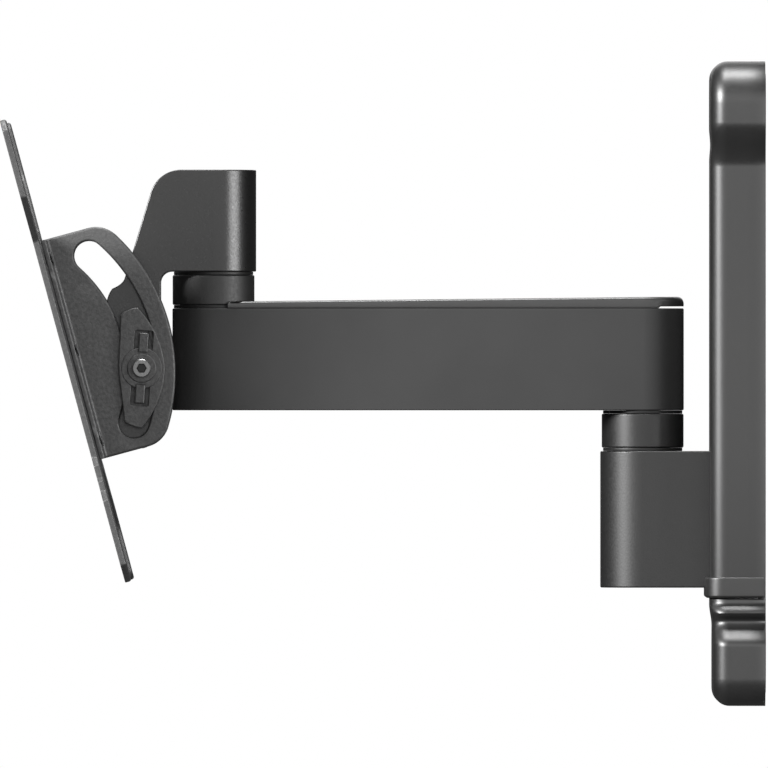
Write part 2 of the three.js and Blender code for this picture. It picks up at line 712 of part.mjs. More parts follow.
// The slide's outline about the tilt axis: widest at the bolt, tapering to a blunt tip at both ends.
function slideOutline(widest, tip) {
  const reachUp = 22 * DEGREE;
  const reachDown = -21.6 * DEGREE;
  const outer = (spread, angle) => polar(SLOT_RADIUS + spread, SLIDER_ANGLE + angle);
  const corners = [
    outer(-tip, reachUp),
    outer(-widest, 5 * DEGREE),
    outer(-widest, -5 * DEGREE),
    outer(-tip, reachDown),
    outer(tip, reachDown),
    outer(widest, -5 * DEGREE),
    outer(widest, 5 * DEGREE),
    outer(tip, reachUp),
  ];
  return new THREE.Shape(corners.map((corner) => corner.add(point(TILT_AXIS_Y, TILT_AXIS_Z))));
}

// An arc-shaped slot about a centre, with round ends.
function arcSlot(centreY, centreZ, radius, halfWidth, from, to) {
  const shape = new THREE.Shape();
  const high = polar(radius, to).add(point(centreY, centreZ));
  const low = polar(radius, from).add(point(centreY, centreZ));
  shape.absarc(centreY, centreZ, radius + halfWidth, from, to);
  shape.absarc(high.x, high.y, halfWidth, to, to + Math.PI);
  shape.absarc(centreY, centreZ, radius - halfWidth, to, from, true);
  shape.absarc(low.x, low.y, halfWidth, from + Math.PI, from + 2 * Math.PI);
  return shape;
}

// A slide of the tilt: a key in the slot, a lens-shaped flange over it, and a boss with two dogs
// that stand in pockets above and below the bolt.
function tiltSlide(side) {
  const keyHalfWidth = SLOT_HALF_WIDTH - 0.35;
  const flangeTo = SLIDE_BASE + SLIDE_FLANGE;
  const bossTo = flangeTo + SLIDE_BOSS;
  const tip = 4;
  const widest = 10.6;
  const overlap = 0.5; // how far joined solids run into each other
  const key = common(
    across(slideOutline(widest - 0.9, tip), TILT_PLATE_INNER, SLIDE_BASE + overlap),
    across(
      arcSlot(TILT_AXIS_Y, TILT_AXIS_Z, SLOT_RADIUS, keyHalfWidth, -22 * DEGREE, 27 * DEGREE),
      TILT_PLATE_INNER - 1,
      SLIDE_BASE + 1,
      { curveSegments: 8 },
    ),
  );
  const flange = across(slideOutline(widest, tip), SLIDE_BASE, flangeTo);
  const bossRadius = 11.3;
  const bossFrom = SLIDE_BASE + overlap;
  const boss = onTiltBolt([[0, bossFrom], [bossRadius, bossFrom], [bossRadius, bossTo], [0, bossTo]]);
  const pocket = { near: 6.8, far: 17.6, halfWidth: 4.4, from: SLIDE_BASE + 0.6, to: bossTo + 1 };
  const dog = { near: 7.6, far: 16.8, halfWidth: 2.3, from: SLIDE_BASE + 0.3, to: bossTo };
  const pockets = [-1, 1].map((way) => besideTiltBolt(pocket, way));
  const dogs = [-1, 1].map((way) => besideTiltBolt(dog, way));
  const made = cut(join(cut(join(key, flange, boss), ...pockets), ...dogs), tiltBoltSpace());
  return side > 0 ? made : mirrored(made);
}

// A block above the tilt bolt (way 1) or below it (way -1), leaning a little towards the wall.
function besideTiltBolt({ near, far, halfWidth, from, to }, way) {
  const lean = -4 * DEGREE;
  const low = Math.min(way * near, way * far);
  const high = Math.max(way * near, way * far);
  return block([from, -halfWidth, low], [to, halfWidth, high])
    .rotateX(lean)
    .translate(0, TILT_BOLT_Y, TILT_BOLT_Z);
}

// The same solid on the other side of X = 0.
function mirrored(geometry) {
  const copy = geometry.clone().scale(-1, 1, 1);
  const index = copy.index.array;
  for (let i = 0; i < index.length; i += 3) {
    const kept = index[i];
    index[i] = index[i + 1];
    index[i + 1] = kept;
  }
  return copy;
}

function tiltBolt() {
  const headRadius = 4.3;
  const headTop = TILT_SEAT + 2.6;
  const chamfer = 0.9;
  const end = -(TILT_SEAT + TILT_NUT_HEIGHT + 1.6);
  const bolt = onTiltBolt([
    [0, end],
    [TILT_BOLT_RADIUS, end],
    [TILT_BOLT_RADIUS, TILT_SEAT],
    [headRadius, TILT_SEAT],
    [headRadius, headTop - chamfer],
    [headRadius - chamfer, headTop],
    [0, headTop],
  ]);
  const socketRadius = 2.3;
  const socketEnd = TILT_SEAT + 0.8;
  const socket = onTiltBolt(
    [[0, socketEnd], [socketRadius, socketEnd], [socketRadius, headTop + 1], [0, headTop + 1]],
    6,
  );
  return cut(bolt, socket);
}

const TILT_NUT_HEIGHT = 5;
function tiltNut() {
  const radius = 5.2;
  const end = -(TILT_SEAT + TILT_NUT_HEIGHT);
  const body = onTiltBolt([[0, end], [radius, end], [radius, -TILT_SEAT], [0, -TILT_SEAT]], 6);
  return cut(body, tiltBoltSpace());
}

function tiltRing(outer, from, to) {
  const inner = TILT_BOLT_RADIUS + GAP;
  return onTiltBolt([[inner, from], [outer, from], [outer, to], [inner, to], [inner, from]]);
}

function buildHead() {
  const y = HEAD_PIVOT_Y;
  place(head, "head_bracket", headBracket(), graphitePaint);
  place(head, "head_hub", headHub(), darkSteel);
  place(head, "head_cap", headCap(), blackPlastic);
  const middle = (HEAD_BOTTOM + HUB_TOP) / 2;
  place(head, "head_bush_lower", bush(HEAD_BOTTOM, middle, false), bearingNylon, 0, y);
  place(head, "head_bush_upper", bush(middle + GAP, HUB_TOP + GAP, true), bearingNylon, 0, y);
  const cheekInner = HEAD_RADIUS - SHEET - GAP;
  const spacerRadius = 8;
  place(head, "tilt_spacer", tiltRing(spacerRadius, -cheekInner, cheekInner), zincSteel);
  const washerRadius = 12;
  const washerFrom = HEAD_RADIUS + GAP;
  const washerTo = TILT_PLATE_INNER - GAP;
  place(head, "tilt_washer_right", tiltRing(washerRadius, washerFrom, washerTo), bearingNylon);
  place(head, "tilt_washer_left", tiltRing(washerRadius, -washerTo, -washerFrom), bearingNylon);
  place(head, "tilt_slide_right", tiltSlide(1), texturedPaint);
  place(head, "tilt_slide_left", tiltSlide(-1), texturedPaint);
  place(head, "tilt_bolt", tiltBolt(), zincSteel);
  place(head, "tilt_nut", tiltNut(), zincSteel);
}

// ---------- television bracket, drawn about the tilt axis: Y out of its back, Z along it ----------

const RIVET_X = 29.6;
const RIVET_HEIGHTS = [-44, 0, 44];

// The side outline of the tilt plates: square against the television plate, round about the axis.
function tiltPlateOutline() {
  const fillet = 13.5;
  const start = TV_PLATE_BACK + GAP;
  const filletZ = TILT_PLATE_HALF_HEIGHT - fillet;
  const filletY = Math.sqrt((TILT_PLATE_RADIUS - fillet) ** 2 - filletZ ** 2);
  const meet = Math.atan2(filletZ, filletY);
  const shape = new THREE.Shape();
  shape.moveTo(start, -TILT_PLATE_HALF_HEIGHT);
  shape.lineTo(filletY, -TILT_PLATE_HALF_HEIGHT);
  shape.absarc(filletY, -filletZ, fillet, -Math.PI / 2, -meet);
  shape.absarc(0, 0, TILT_PLATE_RADIUS, -meet, meet);
  shape.absarc(filletY, filletZ, fillet, meet, Math.PI / 2);
  shape.lineTo(start, TILT_PLATE_HALF_HEIGHT);
  return shape;
}

// An L in plan: an upright plate that carries the slot, and a foot that turns outwards, away from
// the other tilt bracket, and lies against the television plate.
function tiltBracket(side) {
  const outerX = TILT_PLATE_INNER + TILT_PLATE_THICK;
  const footY = TV_PLATE_BACK + GAP;
  const bend = 4;
  const innerBend = bend - TILT_PLATE_THICK;
  const bendX = TILT_PLATE_INNER + bend;
  const footEnd = 33.4;
  const section = new THREE.Shape();
  section.moveTo(footEnd, footY);
  section.lineTo(bendX, footY);
  section.absarc(bendX, footY + bend, bend, -Math.PI / 2, -Math.PI, true);
  section.lineTo(TILT_PLATE_INNER, TILT_PLATE_RADIUS + 5);
  section.lineTo(outerX, TILT_PLATE_RADIUS + 5);
  section.lineTo(outerX, footY + bend);
  section.absarc(bendX, footY + bend, innerBend, -Math.PI, -Math.PI / 2);
  section.lineTo(footEnd, footY + TILT_PLATE_THICK);
  const angle = raise(section, -70, 70, { curveSegments: 5 });
  const outline = across(tiltPlateOutline(), -5, 40, { curveSegments: 10 });
  const slot = arcSlot(0, 0, SLOT_RADIUS, SLOT_HALF_WIDTH, -SLOT_HALF_ANGLE, SLOT_HALF_ANGLE);
  const slotTool = across(slot, 15, 40, { curveSegments: 10 });
  const rivets = RIVET_HEIGHTS.map((z) => rivetSpace(RIVET_X, z));
  const made = cut(common(angle, outline), slotTool, ...rivets);
  return side > 0 ? made : mirrored(made);
}

// A rivet with a low head behind and a countersunk end just under the television face.
function rivet(x, z, grow = 0) {
  const shank = 2.6 + grow;
  const headRadius = 3.8;
  const headSeat = TV_PLATE_BACK + TILT_PLATE_THICK + 2 * GAP;
  const front = TV_PLATE_FRONT + (grow ? -1 : 0.4);
  const sunkTo = TV_PLATE_FRONT + 2;
  const sunkRadius = shank + 1.6;
  const profile = [[0, front], [sunkRadius, front], [sunkRadius, TV_PLATE_FRONT + 0.5], [shank, sunkTo]];
  const domed = [
    [shank, headSeat],
    [headRadius, headSeat],
    [headRadius - 0.4, headSeat + 0.5],
    [0, headSeat + 0.7],
  ];
  const open = [[shank, headSeat + 3], [0, headSeat + 3]];
  return turned([...profile, ...(grow ? open : domed)], 12).rotateX(-Math.PI / 2).translate(x, 0, z);
}

const rivetSpace = (x, z) => rivet(x, z, GAP);

// The outline of the television plate: a wide panel with an arm at each corner. The upper arms
// flare out in one slope, and the lower arms in three short ones.
function tvPlateOutline() {
  const panel = 93;
  const inner = TV_HALF - 25;
  const upper = [
    [panel, 53.3, 3],
    [TV_HALF, 74.8, 3],
    [TV_HALF, TV_HALF - 5.2, 1.5],
    [TV_HALF - 5.2, TV_HALF, 1.5],
    [inner, TV_HALF, 6],
    [inner, 86, 9],
    [46, 59, 14],
  ];
  const lower = [
    [46, -59, 14],
    [inner, -86, 9],
    [inner, -TV_HALF, 6],
    [TV_HALF - 8.4, -TV_HALF, 1.5],
    [TV_HALF, -(TV_HALF - 8.4), 1.5],
    [TV_HALF, -72.6, 1],
    [103.6, -67.9, 0.8],
    [103.2, -63.4, 0.8],
    [99.6, -61.5, 0.5],
    [99.4, -55.7, 1],
    [panel, -51.8, 2],
  ];
  const right = [...lower, ...upper];
  const left = right.map(([x, z, rounding]) => [-x, z, rounding]).reverse();
  return softPolygon([...right, ...left]);
}

function tvPlate() {
  const shape = tvPlateOutline();
  for (const span of [37.5, 50, 100]) {
    for (const x of [-span, span]) {
      for (const z of [-span, span]) {
        shape.holes.push(circle(x, z, TV_HOLE_RADIUS));
      }
    }
  }
  const rivets = [-1, 1].flatMap((side) => RIVET_HEIGHTS.map((z) => rivetSpace(side * RIVET_X, z)));
  return cut(forward(shape, TV_PLATE_BACK, PLATE_THICK, { curveSegments: 4 }), ...rivets);
}

function buildTvBracket() {
  place(tvBracket, "tv_plate", tvPlate(), texturedPaint);
  for (const [side, hand] of [[1, "right"], [-1, "left"]]) {
    place(tvBracket, `tilt_bracket_${hand}`, tiltBracket(side), texturedPaint);
    RIVET_HEIGHTS.forEach((z, i) => {
      place(tvBracket, `rivet_${hand}_${i + 1}`, rivet(side * RIVET_X, z), darkSteel);
    });
  }
}

buildWallBase();
buildArm();
buildHead();
buildTvBracket();

export default mount;
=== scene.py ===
"""A full-motion television wall mount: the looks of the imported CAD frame.

Everything is drawn in millimetres in the CAD's own frame and written out in metres. The wall is
the plane Y = 0, the television is towards -Y, and Z is up.
"""

import json
import math

import bmesh
import bpy
from mathutils import Matrix, Vector


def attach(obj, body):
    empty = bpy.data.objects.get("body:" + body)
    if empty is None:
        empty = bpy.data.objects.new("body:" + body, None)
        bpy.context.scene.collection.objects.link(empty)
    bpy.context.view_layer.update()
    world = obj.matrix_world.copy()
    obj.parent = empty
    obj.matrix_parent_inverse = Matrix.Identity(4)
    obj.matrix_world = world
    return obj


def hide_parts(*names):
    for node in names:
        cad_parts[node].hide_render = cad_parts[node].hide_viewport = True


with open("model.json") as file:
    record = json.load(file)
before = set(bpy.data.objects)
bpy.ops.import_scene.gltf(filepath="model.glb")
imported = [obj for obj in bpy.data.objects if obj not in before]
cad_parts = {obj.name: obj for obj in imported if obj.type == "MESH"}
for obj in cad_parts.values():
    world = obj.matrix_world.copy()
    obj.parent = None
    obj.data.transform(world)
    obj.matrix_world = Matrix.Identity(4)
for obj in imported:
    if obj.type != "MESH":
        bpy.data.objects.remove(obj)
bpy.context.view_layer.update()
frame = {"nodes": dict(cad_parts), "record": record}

# ---------- driving dimensions, in millimetres ----------

MM = 0.001
GAP = 0.3
SHARP_ANGLE = math.radians(38)
WALL_PIVOT_Y = -57.7
HEAD_PIVOT_Y = -260.1
TILT_AXIS = (-367.6, 4.8)  # y and z
TILT_AT_REST = math.radians(15.2)

BRACKET_BOTTOM, BRACKET_TOP = -96.2, -31.8
ARM_BOTTOM, ARM_TOP = -12.6, 35.5
HEAD_BOTTOM, HEAD_TOP = 52.8, 100.8

WALL_HALF_HEIGHT = 151.7
COVER_DEPTH = 26
COVER_ROUND = 8
COVER_LOBE, COVER_MIDDLE, COVER_FOOT = 56, 46, 53
BAND_TOP, BAND_BOTTOM = -91.1, -100.9

BRACKET_RADIUS = 20
COLLAR_RADIUS = 19.3
THRUST_RADIUS, WASHER = 18.7, 1
COUNTERBORE = 13.4
ARM_RADIUS = 19.4
HEAD_RADIUS = 20.1
SHEET = 3

SLOT_RADIUS, SLOT_HALF_WIDTH = 73.8, 7.05
SLOT_HALF_ANGLE = math.radians(33.5)
TILT_PLATE_RADIUS, TILT_PLATE_HALF_HEIGHT = 89.7, 53.4
TILT_PLATE_INNER, TILT_PLATE_THICK = 21.5, 2.5
TV_FRONT, TV_BACK = 38.5, 41.5
TV_HALF = 112.2


# ---------- outlines ----------


def arc(centre, radius, start, end, steps=16):
    """Points along an arc, both ends included. The angles are in degrees."""
    angles = (math.radians(start + (end - start) * i / steps) for i in range(steps + 1))
    return [(centre[0] + radius * math.cos(a), centre[1] + radius * math.sin(a)) for a in angles]


def quadratic(a, b, c, steps=6):
    """Points along a quadratic curve, both ends included."""
    points = []
    for i in range(steps + 1):
        t = i / steps
        weights = ((1 - t) ** 2, 2 * t * (1 - t), t * t)
        points.append(tuple(sum(w * p[k] for w, p in zip(weights, (a, b, c))) for k in (0, 1)))
    return points


def circle(centre, radius, steps=48):
    return arc(centre, radius, 0, 360, steps)[:-1]


def stadium(x, low, high, radius, steps=24):
    """A slot with round ends, standing along the second coordinate."""
    return arc((x, high), radius, 0, 180, steps) + arc((x, low), radius, 180, 360, steps)


def rounded(corners, steps=6):
    """A closed outline through (x, y, radius) corners, each one rounded by a true arc."""
    outline = []
    for i, (x, y, radius) in enumerate(corners):
        here = Vector((x, y))
        before = (Vector(corners[i - 1][:2]) - here).normalized()
        after = (Vector(corners[(i + 1) % len(corners)][:2]) - here).normalized()
        half = before.angle(after) / 2
        centre = here + (before + after).normalized() * (radius / math.sin(half))
        start = here + before * (radius / math.tan(half)) - centre
        turn = before.cross(after)
        sweep = math.pi - 2 * half
        for k in range(steps + 1):
            angle = sweep * k / steps * (-1 if turn > 0 else 1)
            spoke = Matrix.Rotation(angle, 2) @ start
            outline.append(tuple(centre + spoke))
    return outline


def tidy(outline):
    """The outline counter-clockwise, without repeated points."""
    kept = []
    for p in outline:
        if not kept or math.dist(p, kept[-1]) > 1e-4:
            kept.append(p)
    if math.dist(kept[0], kept[-1]) <= 1e-4:
        kept.pop()
    area = sum(a[0] * b[1] - b[0] * a[1] for a, b in zip(kept, kept[1:] + kept[:1]))
    return kept if area > 0 else kept[::-1]


def inset(outline, distance):
    """The counter-clockwise outline moved inwards."""
    moved = []
    for i, (x, y) in enumerate(outline):
        before = Vector((x, y)) - Vector(outline[i - 1])
        after = Vector(outline[(i + 1) % len(outline)]) - Vector((x, y))
        n1 = Vector((-before.y, before.x)).normalized()
        n2 = Vector((-after.y, after.x)).normalized()
        mitre = (n1 + n2) / (1 + n1.dot(n2))
        moved.append((x + mitre.x * distance, y + mitre.y * distance))
    return moved


# ---------- placing: from a drawing's (u, v, height) to the part's (x, y, z) ----------


def upright(y=0.0):
    """Drawn in X and Y, with its height up Z."""
    return lambda u, v, h: (u, v + y, h)


def across(u, v, h):
    """Drawn in Y and Z, with its height along X."""
    return (h, u, v)


def forward(u, v, h):
    """Drawn in X and Z, with its height towards the television."""
    return (u, -h, v)


def tilted(point):
    """From the tilt axis's own frame to the part's frame at rest."""
    x, y, z = point
    cos, sin = math.cos(TILT_AT_REST), math.sin(TILT_AT_REST)
    return (x, TILT_AXIS[0] + y * cos - z * sin, TILT_AXIS[1] + y * sin + z * cos)


# ---------- building meshes ----------


def soft_edge(height, radius, way, steps=4):
    """From a face to the side of a solid: (inset, height) pairs. way is the side's direction."""
    angles = (math.pi / 2 * (1 - i / steps) for i in range(steps + 1))
    return [(radius * (1 - math.cos(a)), height + way * radius * (1 - math.sin(a))) for a in angles]


def edged(low, high, low_soft, high_soft=None, steps=4):
    """The side of a solid from its lower to its upper face, with both edges rounded."""
    high_soft = low_soft if high_soft is None else high_soft
    return soft_edge(low, low_soft, 1, steps) + soft_edge(high, high_soft, -1, steps)[::-1]


class Builder:
    """Puts a mesh together from rings of points."""

    def __init__(self, place):
        self.mesh = bmesh.new()
        self.place = place

    def ring(self, outline, height, inward=0.0, sign=1):
        """Points round an outline. With a sign of -1, for holes, an inset widens the outline."""
        moved = inset(outline, inward * sign) if inward else outline
        return [self.mesh.verts.new(self.place(u, v, height)) for u, v in moved]

    def side(self, outline, profile, sign=1):
        """A wall through a profile of (inset, height) pairs. Returns its first and last ring."""
        rings = [self.ring(outline, height, inward, sign) for inward, height in profile]
        self.loft(rings)
        return rings[0], rings[-1]

    def loft(self, rings):
        """Faces from each ring to the next."""
        for low, high in zip(rings, rings[1:]):
            for i in range(len(low)):
                k = (i + 1) % len(low)
                self.mesh.faces.new((low[i], low[k], high[k], high[i]))

    def cap(self, *rings):
        """A flat face between one outer ring and any number of inner rings."""
        edges = []
        for ring in rings:
            for i in range(len(ring)):
                pair = (ring[i - 1], ring[i])
                edges.append(self.mesh.edges.get(pair) or self.mesh.edges.new(pair))
        bmesh.ops.triangle_fill(self.mesh, edges=edges, use_beauty=True, use_dissolve=False)

    def prism(self, outline, low, high, soft=0.4, holes=(), hole_soft=0.4, low_soft=None):
        """A solid of one outline with rounded edges, and any number of through holes."""
        low_soft = soft if low_soft is None else low_soft
        sides = [self.side(tidy(outline), edged(low, high, low_soft, soft))]
        hole_side = edged(low, high, hole_soft)
        sides += [self.side(tidy(hole), hole_side, -1) for hole in holes]
        self.cap(*(first for first, _ in sides))
        self.cap(*(last for _, last in sides))

    def recess(self, outline, mouth, floor, lip=0.4):
        """The wall of a blind hole, narrower at its mouth. Returns its mouth and its floor ring."""
        way = math.copysign(lip, floor - mouth)
        profile = [(-lip, mouth), (0.0, mouth + way), (0.0, floor)]
        return self.side(tidy(outline), profile, -1)

    def turned(self, profile, centre=(0.0, 0.0), steps=72):
        """A solid of revolution through (radius, height) pairs, with flat ends."""
        rings = [self.ring(circle(centre, radius, steps), height) for radius, height in profile]
        self.loft(rings)
        self.mesh.faces.new(rings[0])
        self.mesh.faces.new(rings[-1])

    def slice(self, point, normal, **options):
        """Adds a line of points where a plane crosses the mesh."""
        parts = self.mesh.verts[:] + self.mesh.edges[:] + self.mesh.faces[:]
        bmesh.ops.bisect_plane(
            self.mesh, geom=parts, dist=1e-5, plane_co=point, plane_no=normal, **options
        )

    def trim(self, point, normal):
        """Removes what is beyond a plane, and leaves the cut open."""
        self.slice(point, normal, clear_outer=True)

    def bend(self, move):
        """Moves every point through a function of its place."""
        for vertex in self.mesh.verts:
            vertex.co = move(vertex.co)

    def finish(self, name, body, replaced, slot, look=None, modifiers=()):
        """Makes the piece, which rides on a body and stands for CAD nodes.

        slot is the record's material slot. look is the material, where it isn't the slot's own.
        """
        bmesh.ops.recalc_face_normals(self.mesh, faces=self.mesh.faces[:])
        self.mesh.transform(Matrix.Scale(MM, 4))
        data = bpy.data.meshes.new(name)
        self.mesh.to_mesh(data)
        self.mesh.free()
        data.shade_smooth()
        data.set_sharp_from_angle(angle=SHARP_ANGLE)
        data.materials.append(MATERIALS[look or slot])
        piece = bpy.data.objects.new(name, data)
        bpy.context.scene.collection.objects.link(piece)
        for kind, settings in modifiers:
            modifier = piece.modifiers.new(kind.title(), kind)
            for key, value in settings.items():
                setattr(modifier, key, value)
        normals = piece.modifiers.new("Normals", "WEIGHTED_NORMAL")
        normals.keep_sharp = True
        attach(piece, body)
        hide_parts(*replaced)


# ---------- materials ----------


class Nodes:
    """A material's node tree, with short calls to add and join nodes."""

    def __init__(self, name):
        self.material = bpy.data.materials.new(name)
        self.material.use_nodes = True
        self.tree = self.material.node_tree
        self.shader = self.tree.nodes["Principled BSDF"]
        self.where = self.add("ShaderNodeTexCoord").outputs["Object"]

    def add(self, kind, **settings):
        node = self.tree.nodes.new(kind)
        for key, value in settings.items():
            setattr(node, key, value)
        return node

    def join(self, source, target):
        self.tree.links.new(source, target)

    def noise(self, scale, detail=2.0, stretch=(1, 1, 1)):
        """Noise whose grain is 1 / scale metres."""
        mapping = self.add("ShaderNodeMapping")
        mapping.inputs["Scale"].default_value = stretch
        self.join(self.where, mapping.inputs["Vector"])
        noise = self.add("ShaderNodeTexNoise")
        noise.inputs["Scale"].default_value = scale
        noise.inputs["Detail"].default_value = detail
        self.join(mapping.outputs["Vector"], noise.inputs["Vector"])
        return noise.outputs["Fac"]

    def ramp(self, source, low, high, spread=(0.3, 0.7)):
        """Maps a factor to a range of values or colours."""
        ramp = self.add("ShaderNodeValToRGB")
        for element, at, value in zip(ramp.color_ramp.elements, spread, (low, high)):
            element.position = at
            element.color = (*value, 1) if isinstance(value, tuple) else (value, value, value, 1)
        self.join(source, ramp.inputs["Fac"])
        return ramp.outputs["Color"]

    def bump(self, height, distance, under=None):
        """A bump of the surface, which may lie over another bump."""
        bump = self.add("ShaderNodeBump")
        bump.inputs["Distance"].default_value = distance
        self.join(height, bump.inputs["Height"])
        if under:
            self.join(under, bump.inputs["Normal"])
        return bump.outputs["Normal"]


def grey(value, warmth=0.0):
    """A near-neutral colour: warmth lifts its red and lowers its blue."""
    return (value * (1 + warmth), value, value * (1 - warmth))


def coating(name, base, rough, grain, depth, specular=0.5, ior=1.5, spread=0.12, warmth=0.02):
    """A paint or plastic: slightly uneven colour and gloss over a fine surface grain."""
    nodes = Nodes(name)
    cloud = nodes.noise(22, 3)
    fine = nodes.noise(grain, 3)
    dark, light = grey(base * (1 - spread), warmth), grey(base * (1 + spread), warmth)
    nodes.join(nodes.ramp(cloud, dark, light), nodes.shader.inputs["Base Color"])
    roughness = nodes.ramp(fine, rough - 0.05, rough + 0.05)
    nodes.join(roughness, nodes.shader.inputs["Roughness"])
    nodes.join(nodes.bump(fine, depth), nodes.shader.inputs["Normal"])
    nodes.shader.inputs["Specular IOR Level"].default_value = specular
    nodes.shader.inputs["IOR"].default_value = ior
    return nodes.material


def textured_coating(name, base):
    """A wrinkled powder coat: small dark pits between lighter, duller swells. The colour follows
    the bump, as painted shade in the pits and painted light on the swells.
    """
    nodes = Nodes(name)
    swell = nodes.noise(620, 2)
    grain = nodes.noise(1700, 3)
    cloud = nodes.noise(30, 2)
    # Painted shade and light: darker colour in the bump's pits, lighter on its swells.
    light = nodes.ramp(swell, grey(base * 0.7), grey(base * 1.3), (0.35, 0.66))
    tone = nodes.add("ShaderNodeMix", data_type="RGBA", blend_type="MULTIPLY")
    tone.inputs["Factor"].default_value = 1.0
    nodes.join(light, tone.inputs["A"])
    nodes.join(nodes.ramp(cloud, 0.9, 1.1), tone.inputs["B"])
    nodes.join(tone.outputs["Result"], nodes.shader.inputs["Base Color"])
    nodes.join(nodes.ramp(swell, 0.58, 0.44), nodes.shader.inputs["Roughness"])
    rough_bump = nodes.bump(swell, 0.00012)
    nodes.join(nodes.bump(grain, 0.00006, under=rough_bump), nodes.shader.inputs["Normal"])
    nodes.shader.inputs["Specular IOR Level"].default_value = 1.0
    nodes.shader.inputs["IOR"].default_value = 1.6
    return nodes.material


def bare_metal(name, base, rough):
    """Machined metal with fine turning marks and a little staining."""
    nodes = Nodes(name)
    marks = nodes.noise(900, 4, (1, 1, 6))
    stain = nodes.noise(60, 3)
    nodes.join(nodes.ramp(stain, grey(base * 0.8), grey(base)), nodes.shader.inputs["Base Color"])
    nodes.join(nodes.ramp(marks, rough - 0.08, rough + 0.08), nodes.shader.inputs["Roughness"])
    nodes.join(nodes.bump(marks, 0.00002), nodes.shader.inputs["Normal"])
    nodes.shader.inputs["Metallic"].default_value = 1.0
    return nodes.material


COATINGS = {
    "graphite_plastic": dict(
        base=0.006, rough=0.42, grain=1500, depth=0.00002, specular=1.0, ior=1.6
    ),
    "graphite_paint": dict(base=0.006, rough=0.45, grain=1100, depth=0.00003, specular=1.0),
    "arm_paint": dict(
        base=0.055, rough=0.5, grain=1100, depth=0.00003, specular=0.1, spread=0.05, warmth=0.0
    ),
    "collar_paint": dict(base=0.004, rough=0.43, grain=1100, depth=0.00002, specular=0.95),
    "rough_collar_paint": dict(base=0.004, rough=0.52, grain=1100, depth=0.00002, specular=0.95),
    "head_paint": dict(base=0.006, rough=0.32, grain=1100, depth=0.00002, specular=0.85),
    "black_plastic": dict(base=0.014, rough=0.5, grain=1400, depth=0.00003, warmth=0.0),
    "bearing_nylon": dict(base=0.012, rough=0.45, grain=900, depth=0.00002, warmth=0.0),
}
MATERIALS = {name: coating(name, **look) for name, look in COATINGS.items()}
MATERIALS["textured_paint"] = textured_coating("textured_paint", 0.036)
MATERIALS["zinc_steel"] = bare_metal("zinc_steel", 0.3, 0.34)
MATERIALS["dark_steel"] = bare_metal("dark_steel", 0.06, 0.4)


# ---------- wall side ----------


def eased(knots, z):
    """A value that eases from knot to knot. The knots are (height, value), from high to low."""
    if z >= knots[0][0]:
        return knots[0][1]
    for (high, start), (low, end) in zip(knots, knots[1:]):
        if z >= low:
            t = (high - z) / (high - low)
            return start + (end - start) * t * t * (3 - 2 * t)
    return knots[-1][1]


def cover_skin(half, corner, far, end, widths, depths):
    """A moulded cover's outer skin: flat-fronted and rounded, then shaped along its height.

    It is drawn from the level far, which is trimmed later, to its rounded end. widths and depths
    are knots of its half width and of its front's distance from the wall.
    """
    way = math.copysign(1, end - far)
    right = [(half, far), *arc((half - corner, end - way * corner), corner, 0, way * 90, 14)]
    skin = Builder(forward)
    profile = [(0.0, GAP), (0.0, (COVER_DEPTH - COVER_ROUND) / 2)]
    profile += soft_edge(COVER_DEPTH, COVER_ROUND, -1, 10)[::-1]
    _, front = skin.side(tidy(right + [(-x, z) for x, z in reversed(right)]), profile)
    skin.cap(front)
    for knots in (widths, depths):
        for level in range(math.floor(knots[-1][0]), math.ceil(knots[0][0]) + 1):
            skin.slice((0, 0, level), (0, 0, 1))
    skin.bend(
        lambda co: (
            co.x * eased(widths, co.z) / half,
            co.y * eased(depths, co.z) / COVER_DEPTH,
            co.z,
        )
    )
    return skin


SHELL = [("SOLIDIFY", {"thickness": 2.4 * MM, "offset": -1.0})]


def cut_window(skin, half, top):
    """Opens a cover's front below a level, for the bracket to pass through."""
    for x in (half, -half):
        skin.slice((x, 0, 0), (1, 0, 0))
    skin.slice((0, 0, top), (0, 0, 1))
    middles = {face: face.calc_center_median() for face in skin.mesh.faces}
    inside = [face for face, at in middles.items() if abs(at.x) < half and at.z < top]
    bmesh.ops.delete(skin.mesh, geom=inside, context="FACES")


def build_main_cover():
    """The long cover: a wide top lobe that flows into a narrower body, open for the bracket."""
    neck = 113
    widths = [(neck + 10, COVER_LOBE), (neck - 11, COVER_MIDDLE)]
    depths = [(neck + 8, COVER_DEPTH), (neck, COVER_DEPTH - 0.5), (neck - 8, COVER_DEPTH)]
    far = BAND_TOP - 3 * COVER_ROUND
    skin = cover_skin(COVER_LOBE, 20, far, WALL_HALF_HEIGHT, widths, depths)
    skin.trim((0, 0, BAND_TOP), (0, 0, -1))
    cut_window(skin, BRACKET_RADIUS + 0.5, BRACKET_TOP + 0.5)
    skin.finish("cover_main", "wall_base", ["wall_cover_main"], "graphite_plastic", modifiers=SHELL)


def build_foot_cover():
    """The lower cover: a ridge under the band, a neck and a wide rounded foot."""
    widths = [
        (-102.8, COVER_MIDDLE - 0.4),
        (-108, COVER_MIDDLE + 2.8),
        (-111.6, COVER_MIDDLE - 0.8),
        (-123.4, COVER_FOOT),
    ]
    depths = [(-104, COVER_DEPTH), (-114, COVER_DEPTH - 1.1)]
    far = BAND_BOTTOM + 3 * COVER_ROUND
    skin = cover_skin(COVER_FOOT, 13, far, -WALL_HALF_HEIGHT, widths, depths)
    skin.trim((0, 0, BAND_BOTTOM - GAP), (0, 0, 1))
    skin.finish("cover_foot", "wall_base", ["wall_cover_foot"], "graphite_plastic", modifiers=SHELL)


